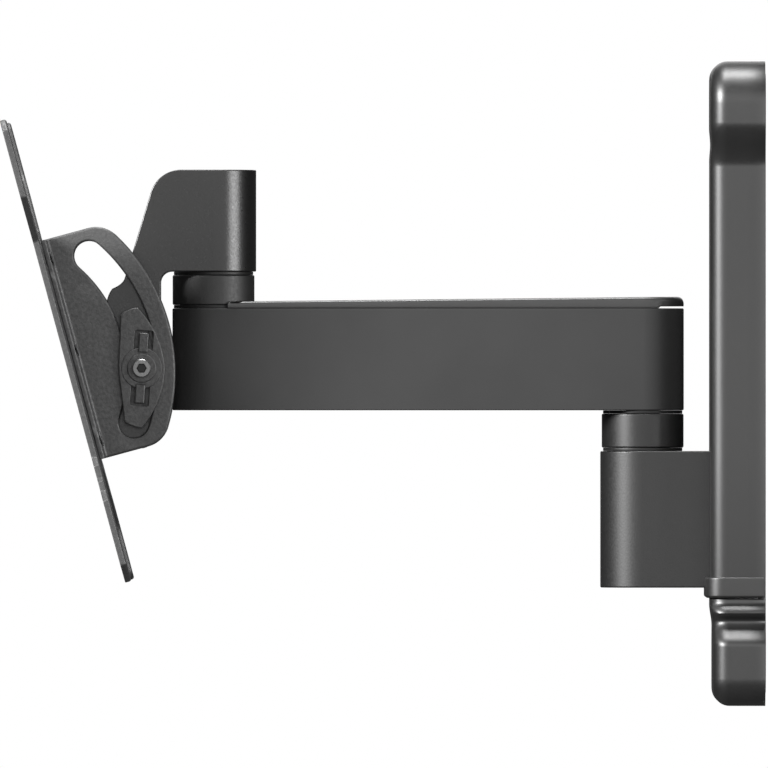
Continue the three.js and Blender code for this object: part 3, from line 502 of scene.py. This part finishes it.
def build_band():
    """The band over the covers' join: a U in plan with a hard top edge and a round lower edge."""
    half, front, thick = COVER_MIDDLE + 1.2, -(COVER_DEPTH + 2.5), 2.6
    corner = COVER_ROUND + 0.8
    outer = [(half, -0.9)]
    outer += arc((half - corner, front + corner), corner, 0, -90, 12)
    outer += arc((corner - half, front + corner), corner, -90, -180, 12)
    outer += [(-half, -0.9)]
    inner = [(x * (1 - thick / half), y + (thick if y < -5 else 0)) for x, y in reversed(outer)]
    band = Builder(upright())
    outline = tidy(outer + inner)
    profile = soft_edge(BAND_BOTTOM, 1.25, 1, 5) + soft_edge(BAND_TOP, 0.9, -1, 4)[::-1]
    low, high = band.side(outline, profile)
    band.cap(low)
    band.cap(high)
    band.finish("cover_band", "wall_base", ["wall_cover_band"], "graphite_plastic")


def build_wall_plate():
    """The steel plate, with lag slots, lag holes, and screw holes that narrow towards the wall."""
    corner, lobe, waist, half_height, shoulder = 14, 44, 36, 146, 122
    right = [(waist, 0), (waist, shoulder - corner), (lobe, shoulder)]
    right += arc((lobe - corner, half_height - corner), corner, 0, 90, 10)
    top = right + [(-x, z) for x, z in reversed(right)][:-1]
    outline = top + [(-x, -z) for x, z in top]
    lag_radius, lag_heights = 4.5, (-128, 128)
    holes = [stadium(0, z - 5, z + 5, lag_radius, 12) for z in lag_heights]
    holes += [circle((x, z), lag_radius, 24) for z in lag_heights for x in (-30, 30)]
    screw_radius = 3.1
    screws = [(x, z) for x in (-12, 12) for z in (-48, -80)]
    plate = Builder(forward)
    thick = 3
    outer = plate.side(tidy(outline), edged(0, thick, 0.5))
    through = [plate.side(tidy(hole), edged(0, thick, 0.3), -1) for hole in holes]
    cone = [(-3.0, 0.0), (-3.0, 0.6), (-0.3, 2.7), (0.0, thick)]
    sunk = [plate.side(circle(at, screw_radius, 32), cone, -1) for at in screws]
    sides = [outer, *through, *sunk]
    plate.cap(*(low for low, _ in sides))
    plate.cap(*(high for _, high in sides))
    plate.finish("wall_plate_steel", "wall_base", ["wall_plate"], "textured_paint")


def build_wall_bracket():
    """The block on the wall plate, with a round front and a counterbore under the wall pivot."""
    back, bore_depth = -3.3, 12
    outline = [(BRACKET_RADIUS, back), (-BRACKET_RADIUS, back)]
    outline += arc((0, WALL_PIVOT_Y), BRACKET_RADIUS, 180, 360, 48)
    block = Builder(upright())
    low, high = block.side(tidy(outline), edged(BRACKET_BOTTOM, BRACKET_TOP, 0.7))
    counterbore = circle((0, WALL_PIVOT_Y), COUNTERBORE, 64)
    mouth, end = block.recess(counterbore, BRACKET_BOTTOM, BRACKET_BOTTOM + bore_depth)
    block.cap(low, mouth)
    block.cap(end)
    block.cap(high)
    block.finish("bracket_block", "wall_base", ["wall_bracket"], "graphite_paint")


def disc(radius, low, high, soft, steps=4):
    """The turned profile of a disc with rounded rims."""
    return [(radius - inward, height) for inward, height in edged(low, high, soft, steps=steps)]


def thrust_washer(node, body, y, low):
    """A thin ring whose soft lips reach almost to the parts above and below it."""
    lip = GAP - 0.05
    ring = Builder(upright(y))
    ring.turned(disc(THRUST_RADIUS, low - lip, low + WASHER + lip, 0.25, 2))
    ring.finish(f"{node}_ring", body, [node], "bearing_nylon")


def build_pivot(place, body, y, bottom, top, look):
    """The neck that fills a pivot's space: a collar with a thrust washer below and above it."""
    lower = bottom + GAP
    upper = top - GAP - WASHER
    thrust_washer(f"{place}_thrust_washer_lower", body, y, lower)
    thrust_washer(f"{place}_thrust_washer_upper", body, y, upper)
    ring = Builder(upright(y))
    ring.turned(disc(COLLAR_RADIUS, lower + WASHER + GAP, upper - GAP, 0.7))
    ring.finish(f"{place}_collar", body, [f"{place}_pivot_collar"], "graphite_paint", look)


def bearing_plug(name, node, body, y, low, thick):
    """A moulded plug with a dished middle and a raised rim, seen from below."""
    radius = COUNTERBORE - GAP
    plug = Builder(upright(y))
    plug.turned(
        [
            (radius * 0.62, low + 0.9),
            (radius * 0.68, low + 0.75),
            (radius * 0.74, low + 0.1),
            (radius * 0.78, low),
            (radius - 0.5, low),
            (radius - 0.1, low + 0.3),
            (radius, low + 0.7),
            (radius, low + thick),
        ]
    )
    plug.finish(name, body, [node], "black_plastic")


# ---------- arm ----------


def build_arm_body():
    """The casting: an open cable channel with two exits, and a counterbore under the head."""
    outline = tidy(stadium(0, HEAD_PIVOT_Y, WALL_PIVOT_Y, ARM_RADIUS, 48))
    arm = Builder(upright())
    bottom, top = arm.side(outline, edged(ARM_BOTTOM, ARM_TOP, 0.7, 0.6))
    wall, floor, bore_depth = 3, 4, 9
    inner = ARM_RADIUS - wall
    channel_end = HEAD_PIVOT_Y + 26
    channel = arc((0, WALL_PIVOT_Y), inner, 0, 180, 32)
    channel += [(-inner, channel_end), (inner, channel_end)]
    rim, deep = arm.recess(channel, ARM_TOP, ARM_BOTTOM + floor)
    exit_radius = 8
    exits = [
        stadium(0, WALL_PIVOT_Y - 54, WALL_PIVOT_Y - 32, exit_radius),
        stadium(0, channel_end + 14, channel_end + 36, exit_radius),
    ]
    sides = [
        arm.side(tidy(hole), soft_edge(ARM_BOTTOM, 0.5, 1) + [(0.0, ARM_BOTTOM + floor)], -1)
        for hole in exits
    ]
    counterbore = circle((0, HEAD_PIVOT_Y), COUNTERBORE, 64)
    mouth, end = arm.recess(counterbore, ARM_BOTTOM, ARM_BOTTOM + bore_depth)
    arm.cap(bottom, mouth, *(low for low, _ in sides))
    arm.cap(end)
    arm.cap(deep, *(high for _, high in sides))
    arm.cap(top, rim)
    arm.finish("arm_casting", "arm", ["arm_body"], "graphite_paint", "arm_paint")


LID_BOTTOM = ARM_TOP + 0.05
LID_THIN, LID_THICK = 38.7, 41.0
LID_END = WALL_PIVOT_Y + ARM_RADIUS
FORK = 6.8  # from the head pivot's axis to the tips of the lid's fork


def lid_outline():
    """Round at the wall end, with a round bay for the head collar at the other."""
    room = COLLAR_RADIUS + GAP
    tip = math.degrees(math.asin(FORK / room))
    fork_y = HEAD_PIVOT_Y + FORK
    outline = arc((0, WALL_PIVOT_Y), ARM_RADIUS, 0, 180, 48) + [(-ARM_RADIUS, fork_y)]
    outline += arc((0, HEAD_PIVOT_Y), room, 180 - tip, tip, 40) + [(ARM_RADIUS, fork_y)]
    return tidy(outline)


def lid_height(y, inward):
    """The lid's top at a distance in from its edge, which is rounder near the wall."""
    sharp, soft = 1.5, 3.4
    along = (y - HEAD_PIVOT_Y - FORK) / (LID_END - HEAD_PIVOT_Y - FORK)
    top = LID_THIN + (LID_THICK - LID_THIN) * along
    near_wall = min(max((y - WALL_PIVOT_Y + 2) / (ARM_RADIUS + 2), 0), 1) ** 1.5
    radius = sharp + (soft - sharp) * near_wall
    left = max(radius - inward, 0)
    return top - radius + math.sqrt(radius**2 - left**2)


def build_lid():
    """The lid of the cable channel, forked round the collar. It is thicker at the wall end."""
    lid = Builder(upright())
    outline = lid_outline()
    side = soft_edge(LID_BOTTOM, 0.35, 1, 2) + [(0.0, LID_BOTTOM + 1.2)]
    steps = (0.0, 0.12, 0.35, 0.7, 1.0, 1.6, 2.4, 3.4)
    rings = [lid.ring(outline, height, inward) for inward, height in side]
    for step in steps:
        ring = lid.ring(outline, LID_THICK, step)
        for vertex in ring:
            vertex.co.z = lid_height(vertex.co.y, step)
        rings.append(ring)
    lid.loft(rings)
    lid.cap(rings[0])
    lid.cap(rings[-1])
    slit = LID_END - 12
    lid.slice((0, slit, 0), (0, 1, 0))
    lid.slice((0, slit + 1, 0), (0, 1, 0))

    def lift(co):
        """Lifts the underside near the wall end, which leaves a narrow slit."""
        if co.z < LID_BOTTOM + 0.5 and co.y > slit + 0.5:
            return (co.x, co.y, co.z + 0.85)
        return co

    lid.bend(lift)
    lid.finish("cable_lid", "arm", ["arm_cable_cover"], "graphite_plastic")


# ---------- head ----------

WRAP_RADIUS = HEAD_RADIUS - SHEET / 2
WRAP_REACH = WRAP_RADIUS * math.pi / 2


def from_axis(radius, angle):
    """A point in Y and Z, from the tilt axis. The angle is in degrees."""
    a = math.radians(angle)
    return (TILT_AXIS[0] + radius * math.cos(a), TILT_AXIS[1] + radius * math.sin(a))


def cheek_edge():
    """The cheek's edge in Y and Z, from the top of the wrap round to the wrap's bottom."""
    corner, corner_y, slope = 15, -275.2, 18.5
    throat_y, throat_round = HEAD_PIVOT_Y - 24.8, 5.2
    inner, middle, outer = 64, 72, 85  # across the paddle, from the tilt axis
    high, low = 33.7, -26  # its ends, in degrees
    edge = arc((corner_y, HEAD_TOP - corner), corner, 90, 180 - slope, 12)
    edge += quadratic(from_axis(79, 34), from_axis(76.5, 33), from_axis(middle, high))
    edge += quadratic(from_axis(middle, high), from_axis(67.2, 32.5), from_axis(inner, 27))
    edge += quadratic(from_axis(inner, -23), from_axis(66, low), from_axis(middle, low))
    edge += quadratic(from_axis(79, low), from_axis(outer, low), from_axis(outer, low + 5))
    end = math.degrees(math.acos((throat_y - TILT_AXIS[0]) / outer))
    edge += arc(TILT_AXIS, outer, low + 5, end, 24)[1:]
    edge += arc((throat_y + throat_round, HEAD_BOTTOM - throat_round), throat_round, 180, 90, 10)
    return edge


def build_head_bracket():
    """A sheet that wraps the pivot: drawn flat as (distance along the wrap, height), then bent."""
    flat = [(WRAP_REACH + HEAD_PIVOT_Y - y, z) for y, z in cheek_edge()]
    outline = tidy(flat + [(-s, z) for s, z in reversed(flat)])
    sheet = Builder(lambda s, v, w: (s, w, v))
    sheet.prism(outline, -SHEET / 2, SHEET / 2, 0.55)
    cuts = 36
    for i in range(cuts + 1):
        sheet.slice((WRAP_REACH * (2 * i / cuts - 1), 0, 0), (1, 0, 0))

    def wrap(co):
        s, w, z = co
        radius = WRAP_RADIUS + w
        if abs(s) > WRAP_REACH:
            return (math.copysign(radius, s), HEAD_PIVOT_Y - (abs(s) - WRAP_REACH), z)
        angle = s / WRAP_RADIUS
        return (radius * math.sin(angle), HEAD_PIVOT_Y + radius * math.cos(angle), z)

    sheet.bend(wrap)
    sheet.finish("head_sheet", "head", ["head_bracket"], "graphite_paint", "head_paint")


def build_head_cap():
    """The cap over the pivot's nut, with a shallow dish in its top."""
    radius = HEAD_RADIUS - SHEET - GAP
    front = -13.1
    outline = arc((0, 0), radius, 0, 180, 40) + [(-radius, front), (radius, front)]
    high = HEAD_TOP - 0.6
    side = [(0.0, high - 2.2), (0.0, high - 0.8), (0.25, high - 0.25), (0.8, high)]
    dish = [(2.4, high), (2.8, high - 0.35), (3.2, high - 0.5)]
    cap = Builder(upright(HEAD_PIVOT_Y))
    low, rim = cap.side(tidy(outline), side + dish)
    cap.cap(low)
    cap.cap(rim)
    cap.finish("head_cap_moulded", "head", ["head_cap"], "black_plastic")


BOLT_ANGLE = 1.9
TILT_BOLT = from_axis(SLOT_RADIUS, BOLT_ANGLE)
PLATE_FACE = TILT_PLATE_INNER + TILT_PLATE_THICK
FLANGE_FACE = PLATE_FACE + GAP + 2
BOSS_FACE = FLANGE_FACE + 0.8


def slide_outline(widest, tip, up, down):
    """A lens along the slot: widest at the bolt, with a blunt rounded tip at both ends."""
    outline = []
    steps = 24
    for side, order in ((-1, range(steps + 1)), (1, range(steps, -1, -1))):
        for i in order:
            t = i / steps
            away = up + (down - up) * t
            reach = away / (up if away > 0 else down)
            half = tip + (widest - tip) * (1 - reach**1.7)
            outline.append(from_axis(SLOT_RADIUS + side * half, BOLT_ANGLE + away))
    return soften(outline, 2)


def soften(outline, passes):
    """Rounds a closed outline's corners by cutting them, again and again."""
    for _ in range(passes):
        cut = []
        for a, b in zip(outline, outline[1:] + outline[:1]):
            cut.append((a[0] * 0.75 + b[0] * 0.25, a[1] * 0.75 + b[1] * 0.25))
            cut.append((a[0] * 0.25 + b[0] * 0.75, a[1] * 0.25 + b[1] * 0.75))
        outline = cut
    return outline


def leaning(half_width, ends, radius):
    """A rounded rectangle above or below the tilt bolt, leaning towards the wall at its top."""
    lean = math.radians(-4)
    cos, sin = math.cos(lean), math.sin(lean)
    low, high = sorted(ends)
    corners = [(-half_width, low), (half_width, low), (half_width, high), (-half_width, high)]
    return rounded(
        [
            (TILT_BOLT[0] + y * cos - z * sin, TILT_BOLT[1] + y * sin + z * cos, radius)
            for y, z in corners
        ]
    )


def build_slides():
    """The slides of the tilt: a lens-shaped flange with a stepped boss and two dogs in pockets."""
    flange = slide_outline(widest=11.0, tip=4.2, up=22, down=-21.6)
    key = slide_outline(widest=6.4, tip=4.0, up=21.5, down=-21)
    pockets = [tidy(leaning(4.4, (way * 7.0, way * 17.8), 1.0)) for way in (-1, 1)]
    dogs = [leaning(2.3, (way * 7.4, way * 16.6), 0.5) for way in (-1, 1)]
    for side, hand in ((1, "right"), (-1, "left")):
        slide = Builder(lambda y, z, x, side=side: (side * x, y, z))
        slide.prism(key, TILT_PLATE_INNER, PLATE_FACE - 0.6, 0.3)
        slide.prism(flange, PLATE_FACE + GAP, FLANGE_FACE, 0.7, pockets, 0.3)
        slide.prism(circle(TILT_BOLT, 9.6), PLATE_FACE + 0.5, FLANGE_FACE + 0.35, 0.35)
        slide.prism(circle(TILT_BOLT, 6.9), PLATE_FACE + 0.5, BOSS_FACE, 0.5)
        for dog in dogs:
            slide.prism(dog, PLATE_FACE - 0.8, BOSS_FACE, 0.6)
        slide.finish(f"slide_{hand}", "head", [f"tilt_slide_{hand}"], "textured_paint")


def build_tilt_bolt():
    """The bright head with its hex socket, and the dark shank, whose dark hexagon fills the
    socket's floor as painted shade.
    """
    seat = BOSS_FACE + GAP
    top = seat + 2.6
    far = -(seat + 6.6)
    head, socket, shank = 4.3, 2.7, 2.9
    bolt = Builder(across)
    low, high = bolt.side(circle(TILT_BOLT, head), [(0.0, seat), (0.0, top - 0.35), (0.35, top)])
    mouth, end = bolt.recess(circle(TILT_BOLT, socket, 6), top, seat + 0.3, 0.2)
    bolt.cap(low)
    bolt.cap(high, mouth)
    bolt.cap(end)
    bolt.finish("tilt_screw_head", "head", ["tilt_bolt"], "zinc_steel")
    shank_and_socket_shade = Builder(across)
    shank_and_socket_shade.prism(circle(TILT_BOLT, shank, 32), far, seat + 0.1, 0.1)
    # Painted shade: a dark steel hexagon inside the socket darkens its floor.
    shank_and_socket_shade.prism(circle(TILT_BOLT, socket - 0.35, 6), seat, top - 1.1, 0.3)
    shank_and_socket_shade.finish("tilt_screw_shank_and_socket_shade", "head", ["tilt_bolt"], "zinc_steel", "dark_steel")


# ---------- television bracket, drawn about the tilt axis: Y out of its back, Z along it ----------

RIVET_X = 29.6
RIVET_HEIGHTS = (-44, 0, 44)
FOOT_END = 33.4
BEND = 4
BEND_MIDDLE = BEND - TILT_PLATE_THICK / 2


def tilt_plate_slot():
    """The curved slot round the tilt axis, with round ends, in (out, along)."""
    r, w = SLOT_RADIUS, SLOT_HALF_WIDTH
    half = math.degrees(SLOT_HALF_ANGLE)
    high = (r * math.cos(SLOT_HALF_ANGLE), r * math.sin(SLOT_HALF_ANGLE))
    outline = arc((0, 0), r + w, -half, half, 36)
    outline += arc(high, w, half, half + 180, 16)[1:]
    outline += arc((0, 0), r - w, half, -half, 36)[1:]
    outline += arc((high[0], -high[1]), w, 180 - half, 360 - half, 16)[1:-1]
    return outline


def tilt_plate_edge(radius, half_height, fillet):
    """The free edge of the upright, from its lower to its upper corner, in (out, along)."""
    fillet_z = half_height - fillet
    fillet_y = math.sqrt((radius - fillet) ** 2 - fillet_z**2)
    meet = math.degrees(math.atan2(fillet_z, fillet_y))
    edge = arc((fillet_y, -fillet_z), fillet, -90, -meet, 12)
    edge += arc((0, 0), radius, -meet, meet, 40)[1:]
    edge += arc((fillet_y, fillet_z), fillet, meet, 90, 12)[1:]
    return edge


def build_tilt_brackets():
    """An L of bent plate: drawn flat as (distance along the section, height), then bent."""
    bend_start = TV_BACK + GAP + BEND
    quarter = BEND_MIDDLE * math.pi / 2
    middle = TILT_PLATE_INNER + TILT_PLATE_THICK / 2
    bend_x = TILT_PLATE_INNER + BEND
    foot_start = bend_start - quarter
    flat_end = foot_start - (FOOT_END - bend_x)
    half = TILT_PLATE_HALF_HEIGHT
    outline = [(flat_end, -half), *tilt_plate_edge(TILT_PLATE_RADIUS, half, 13.5), (flat_end, half)]
    rivets = [circle((foot_start - (RIVET_X - bend_x), z), 2.9, 24) for z in RIVET_HEIGHTS]
    holes = [tilt_plate_slot(), *rivets]

    def bent(co):
        """From (along the section, height, out of its middle) to the tilt axis's frame."""
        s, v, w = co
        if s >= bend_start:
            return (middle + w, s, v)
        turn = min((bend_start - s) / BEND_MIDDLE, math.pi / 2)
        rest = (bend_start - s) - BEND_MIDDLE * turn
        radius = BEND_MIDDLE - w
        return (bend_x - radius * math.cos(turn) + rest, bend_start - radius * math.sin(turn), v)

    for side, hand in ((1, "right"), (-1, "left")):
        plate = Builder(lambda u, v, h: (u, v, h))
        thick = TILT_PLATE_THICK / 2
        plate.prism(outline, -thick, thick, 1.1, holes, 0.95, low_soft=0.3)
        for i in range(9):
            plate.slice((bend_start - quarter * i / 8, 0, 0), (1, 0, 0))
        plate.bend(bent)
        plate.bend(lambda co, side=side: tilted((side * co.x, co.y, co.z)))
        plate.finish(f"tilt_plate_{hand}", "tv_bracket", [f"tilt_bracket_{hand}"], "textured_paint")


def tv_plate_outline():
    """A wide panel with an arm at each corner: one slope above, three short ones below."""
    panel, inner = 93, TV_HALF - 25
    upper = [
        (panel, 53.3, 2),
        (TV_HALF, 74.8, 2),
        (TV_HALF, TV_HALF - 5.2, 1.5),
        (TV_HALF - 5.2, TV_HALF, 1.5),
        (inner, TV_HALF, 5),
        (inner, 86, 9),
        (46, 59, 14),
    ]
    lower = [
        (46, -59, 14),
        (inner, -86, 9),
        (inner, -TV_HALF, 5),
        (TV_HALF - 8.4, -TV_HALF, 1.5),
        (TV_HALF, 8.4 - TV_HALF, 1.5),
        (TV_HALF, -72.6, 0.9),
        (103.6, -67.9, 0.7),
        (103.2, -63.4, 0.6),
        (99.6, -61.5, 0.4),
        (99.4, -55.7, 0.9),
        (panel, -51.8, 1.2),
    ]
    right = lower + upper
    left = [(-x, z, radius) for x, z, radius in reversed(right)]
    return rounded(right + left)


def build_tv_plate():
    """The television plate, with its 75, 100 and 200 mm hole patterns and the rivets' holes."""
    screw_radius, rivet_radius = 3.3, 4.5
    holes = [
        circle((sx * span, sz * span), screw_radius, 28)
        for span in (37.5, 50, 100)
        for sx in (-1, 1)
        for sz in (-1, 1)
    ]
    rivets = [(side * RIVET_X, z) for side in (-1, 1) for z in RIVET_HEIGHTS]
    holes += [circle(at, rivet_radius, 28) for at in rivets]
    plate = Builder(lambda x, z, y: tilted((x, y, z)))
    plate.prism(tv_plate_outline(), TV_FRONT, TV_BACK, 1.1, holes, 0.35, low_soft=0.4)
    plate.finish("tv_plate_steel", "tv_bracket", ["tv_plate"], "textured_paint")


def build_rivets():
    """Low-headed rivets through the feet of the tilt brackets, painted over with them."""
    seat = TV_BACK + TILT_PLATE_THICK + 2 * GAP
    shank, head = 2.6, 3.8
    flare = [(4.1, TV_FRONT + 0.4), (4.2, TV_FRONT + 0.6), (shank, TV_FRONT + 2)]
    rim = [(head, seat), (head, seat + 0.2), (head - 0.3, seat + 0.5)]
    crown = [(head * 0.5, seat + 0.65), (0.6, seat + 0.7)]
    for side, hand in ((1, "right"), (-1, "left")):
        for i, z in enumerate(RIVET_HEIGHTS):
            rivet = Builder(lambda u, v, h: tilted((u, h, v)))
            rivet.turned([*flare, (shank, seat), *rim, *crown], (side * RIVET_X, z), 32)
            node = f"rivet_{hand}_{i + 1}"
            rivet.finish(f"{node}_head", "tv_bracket", [node], "dark_steel", "textured_paint")


# ---------- carried-over CAD nodes ----------


def finish_cad_nodes():
    """Gives the CAD nodes that still show their material and softly bevelled edges."""
    slots = {part["node"]: part["material_slot"] for part in frame["record"]["subparts"]}
    for node, piece in frame["nodes"].items():
        if piece.hide_render:
            continue
        piece.data.materials.clear()
        piece.data.materials.append(MATERIALS[slots[node]])
        bevel = piece.modifiers.new("Edges", "BEVEL")
        bevel.width = 0.3 * MM
        bevel.segments = 2
        bevel.angle_limit = math.radians(50)


# ---------- studio ----------


def build_floor():
    """A pale sheet below the object. What the object mirrors of it is darker."""
    low, half = -0.8, 1.1
    data = bpy.data.meshes.new("floor")
    mesh = bmesh.new()
    corners = [(-half, -half, low), (half, -half, low), (half, half, low), (-half, half, low)]
    mesh.faces.new([mesh.verts.new(c) for c in corners])
    mesh.to_mesh(data)
    mesh.free()
    nodes = Nodes("floor_paper")
    paper = nodes.ramp(nodes.noise(300, 3), 0.72, 0.76)
    seen = nodes.add("ShaderNodeLightPath").outputs["Is Camera Ray"]
    tone = nodes.add("ShaderNodeMix", data_type="RGBA")
    nodes.join(seen, tone.inputs["Factor"])
    tone.inputs["A"].default_value = (0.08, 0.08, 0.08, 1)
    nodes.join(paper, tone.inputs["B"])
    nodes.join(tone.outputs["Result"], nodes.shader.inputs["Base Color"])
    nodes.shader.inputs["Roughness"].default_value = 0.9
    data.materials.append(nodes.material)
    floor = bpy.data.objects.new("floor", data)
    bpy.context.scene.collection.objects.link(floor)


def build_world():
    """White behind the object, and dim where the object would mirror it."""
    world = bpy.data.worlds.new("studio")
    world.use_nodes = True
    tree = world.node_tree
    ground = tree.nodes["Background"]
    ground.inputs["Color"].default_value = (1, 1, 1, 1)
    ground.inputs["Strength"].default_value = 0.05
    seen = tree.nodes.new("ShaderNodeBackground")
    seen.inputs["Color"].default_value = (1, 1, 1, 1)
    path = tree.nodes.new("ShaderNodeLightPath")
    mix = tree.nodes.new("ShaderNodeMixShader")
    tree.links.new(path.outputs["Is Camera Ray"], mix.inputs["Fac"])
    tree.links.new(ground.outputs["Background"], mix.inputs[1])
    tree.links.new(seen.outputs["Background"], mix.inputs[2])
    tree.links.new(mix.outputs["Shader"], tree.nodes["World Output"].inputs["Surface"])
    bpy.context.scene.world = world


def soft_box(name, azimuth, elevation, power, width, height, distance):
    """A light aimed at the object's middle. Azimuth is from +X towards the wall, in degrees."""
    a, e = math.radians(azimuth), math.radians(elevation)
    direction = Vector((math.cos(a) * math.cos(e), math.sin(a) * math.cos(e), math.sin(e)))
    data = bpy.data.lights.new(name, "AREA")
    data.shape = "RECTANGLE"
    data.size, data.size_y = width, height
    data.energy = power
    light = bpy.data.objects.new(name, data)
    middle = Vector((0, -0.18, 0))
    light.location = middle + direction * distance
    light.rotation_euler = direction.to_track_quat("Z", "Y").to_euler()
    bpy.context.scene.collection.objects.link(light)


def build_lights():
    """A light at each side, a broad one in front, and small ones above and behind."""
    soft_box("key_left", azimuth=-54, elevation=20, power=160, width=0.9, height=0.8, distance=3)
    soft_box("key_right", azimuth=57, elevation=4, power=72, width=1.9, height=1.2, distance=4)
    soft_box("top", azimuth=0, elevation=86, power=24, width=0.9, height=0.5, distance=1.6)
    soft_box("front", azimuth=8, elevation=12, power=12.3, width=2.2, height=1.7, distance=2.4)
    soft_box("back", azimuth=180, elevation=25, power=8, width=1.2, height=1.2, distance=2)


def build_camera():
    """A long lens square to the mount's side, level with its middle."""
    distance, seen_width = 17.0, 0.36226
    middle_y, middle_z = -0.1797, -0.0002
    data = bpy.data.cameras.new("camera")
    data.sensor_width = 36
    data.lens = data.sensor_width * distance / seen_width
    data.clip_end = 100
    camera = bpy.data.objects.new("camera", data)
    camera.location = (distance, middle_y, middle_z)
    camera.rotation_euler = (math.pi / 2, 0, math.pi / 2)
    bpy.context.scene.collection.objects.link(camera)
    bpy.context.scene.camera = camera
    bpy.context.scene.view_settings.view_transform = "Standard"


def build_mount():
    """Every piece, from the wall to the television, and then the CAD nodes that still show."""
    wall, head = WALL_PIVOT_Y, HEAD_PIVOT_Y
    build_wall_plate()
    build_main_cover()
    build_band()
    build_foot_cover()
    build_wall_bracket()
    bearing_plug("bracket_plug", "wall_bracket_plug", "wall_base", wall, BRACKET_BOTTOM, thick=2.7)
    build_pivot("wall", "wall_base", wall, BRACKET_TOP, ARM_BOTTOM, "collar_paint")
    build_arm_body()
    build_lid()
    bearing_plug("arm_bolt_plug", "arm_plug", "arm", head, ARM_BOTTOM, thick=1.9)
    build_pivot("head", "arm", head, ARM_TOP, HEAD_BOTTOM, "rough_collar_paint")
    build_head_bracket()
    build_head_cap()
    build_slides()
    build_tilt_bolt()
    build_tilt_brackets()
    build_tv_plate()
    build_rivets()
    finish_cad_nodes()


build_camera()
build_world()
build_lights()
build_floor()
build_mount()
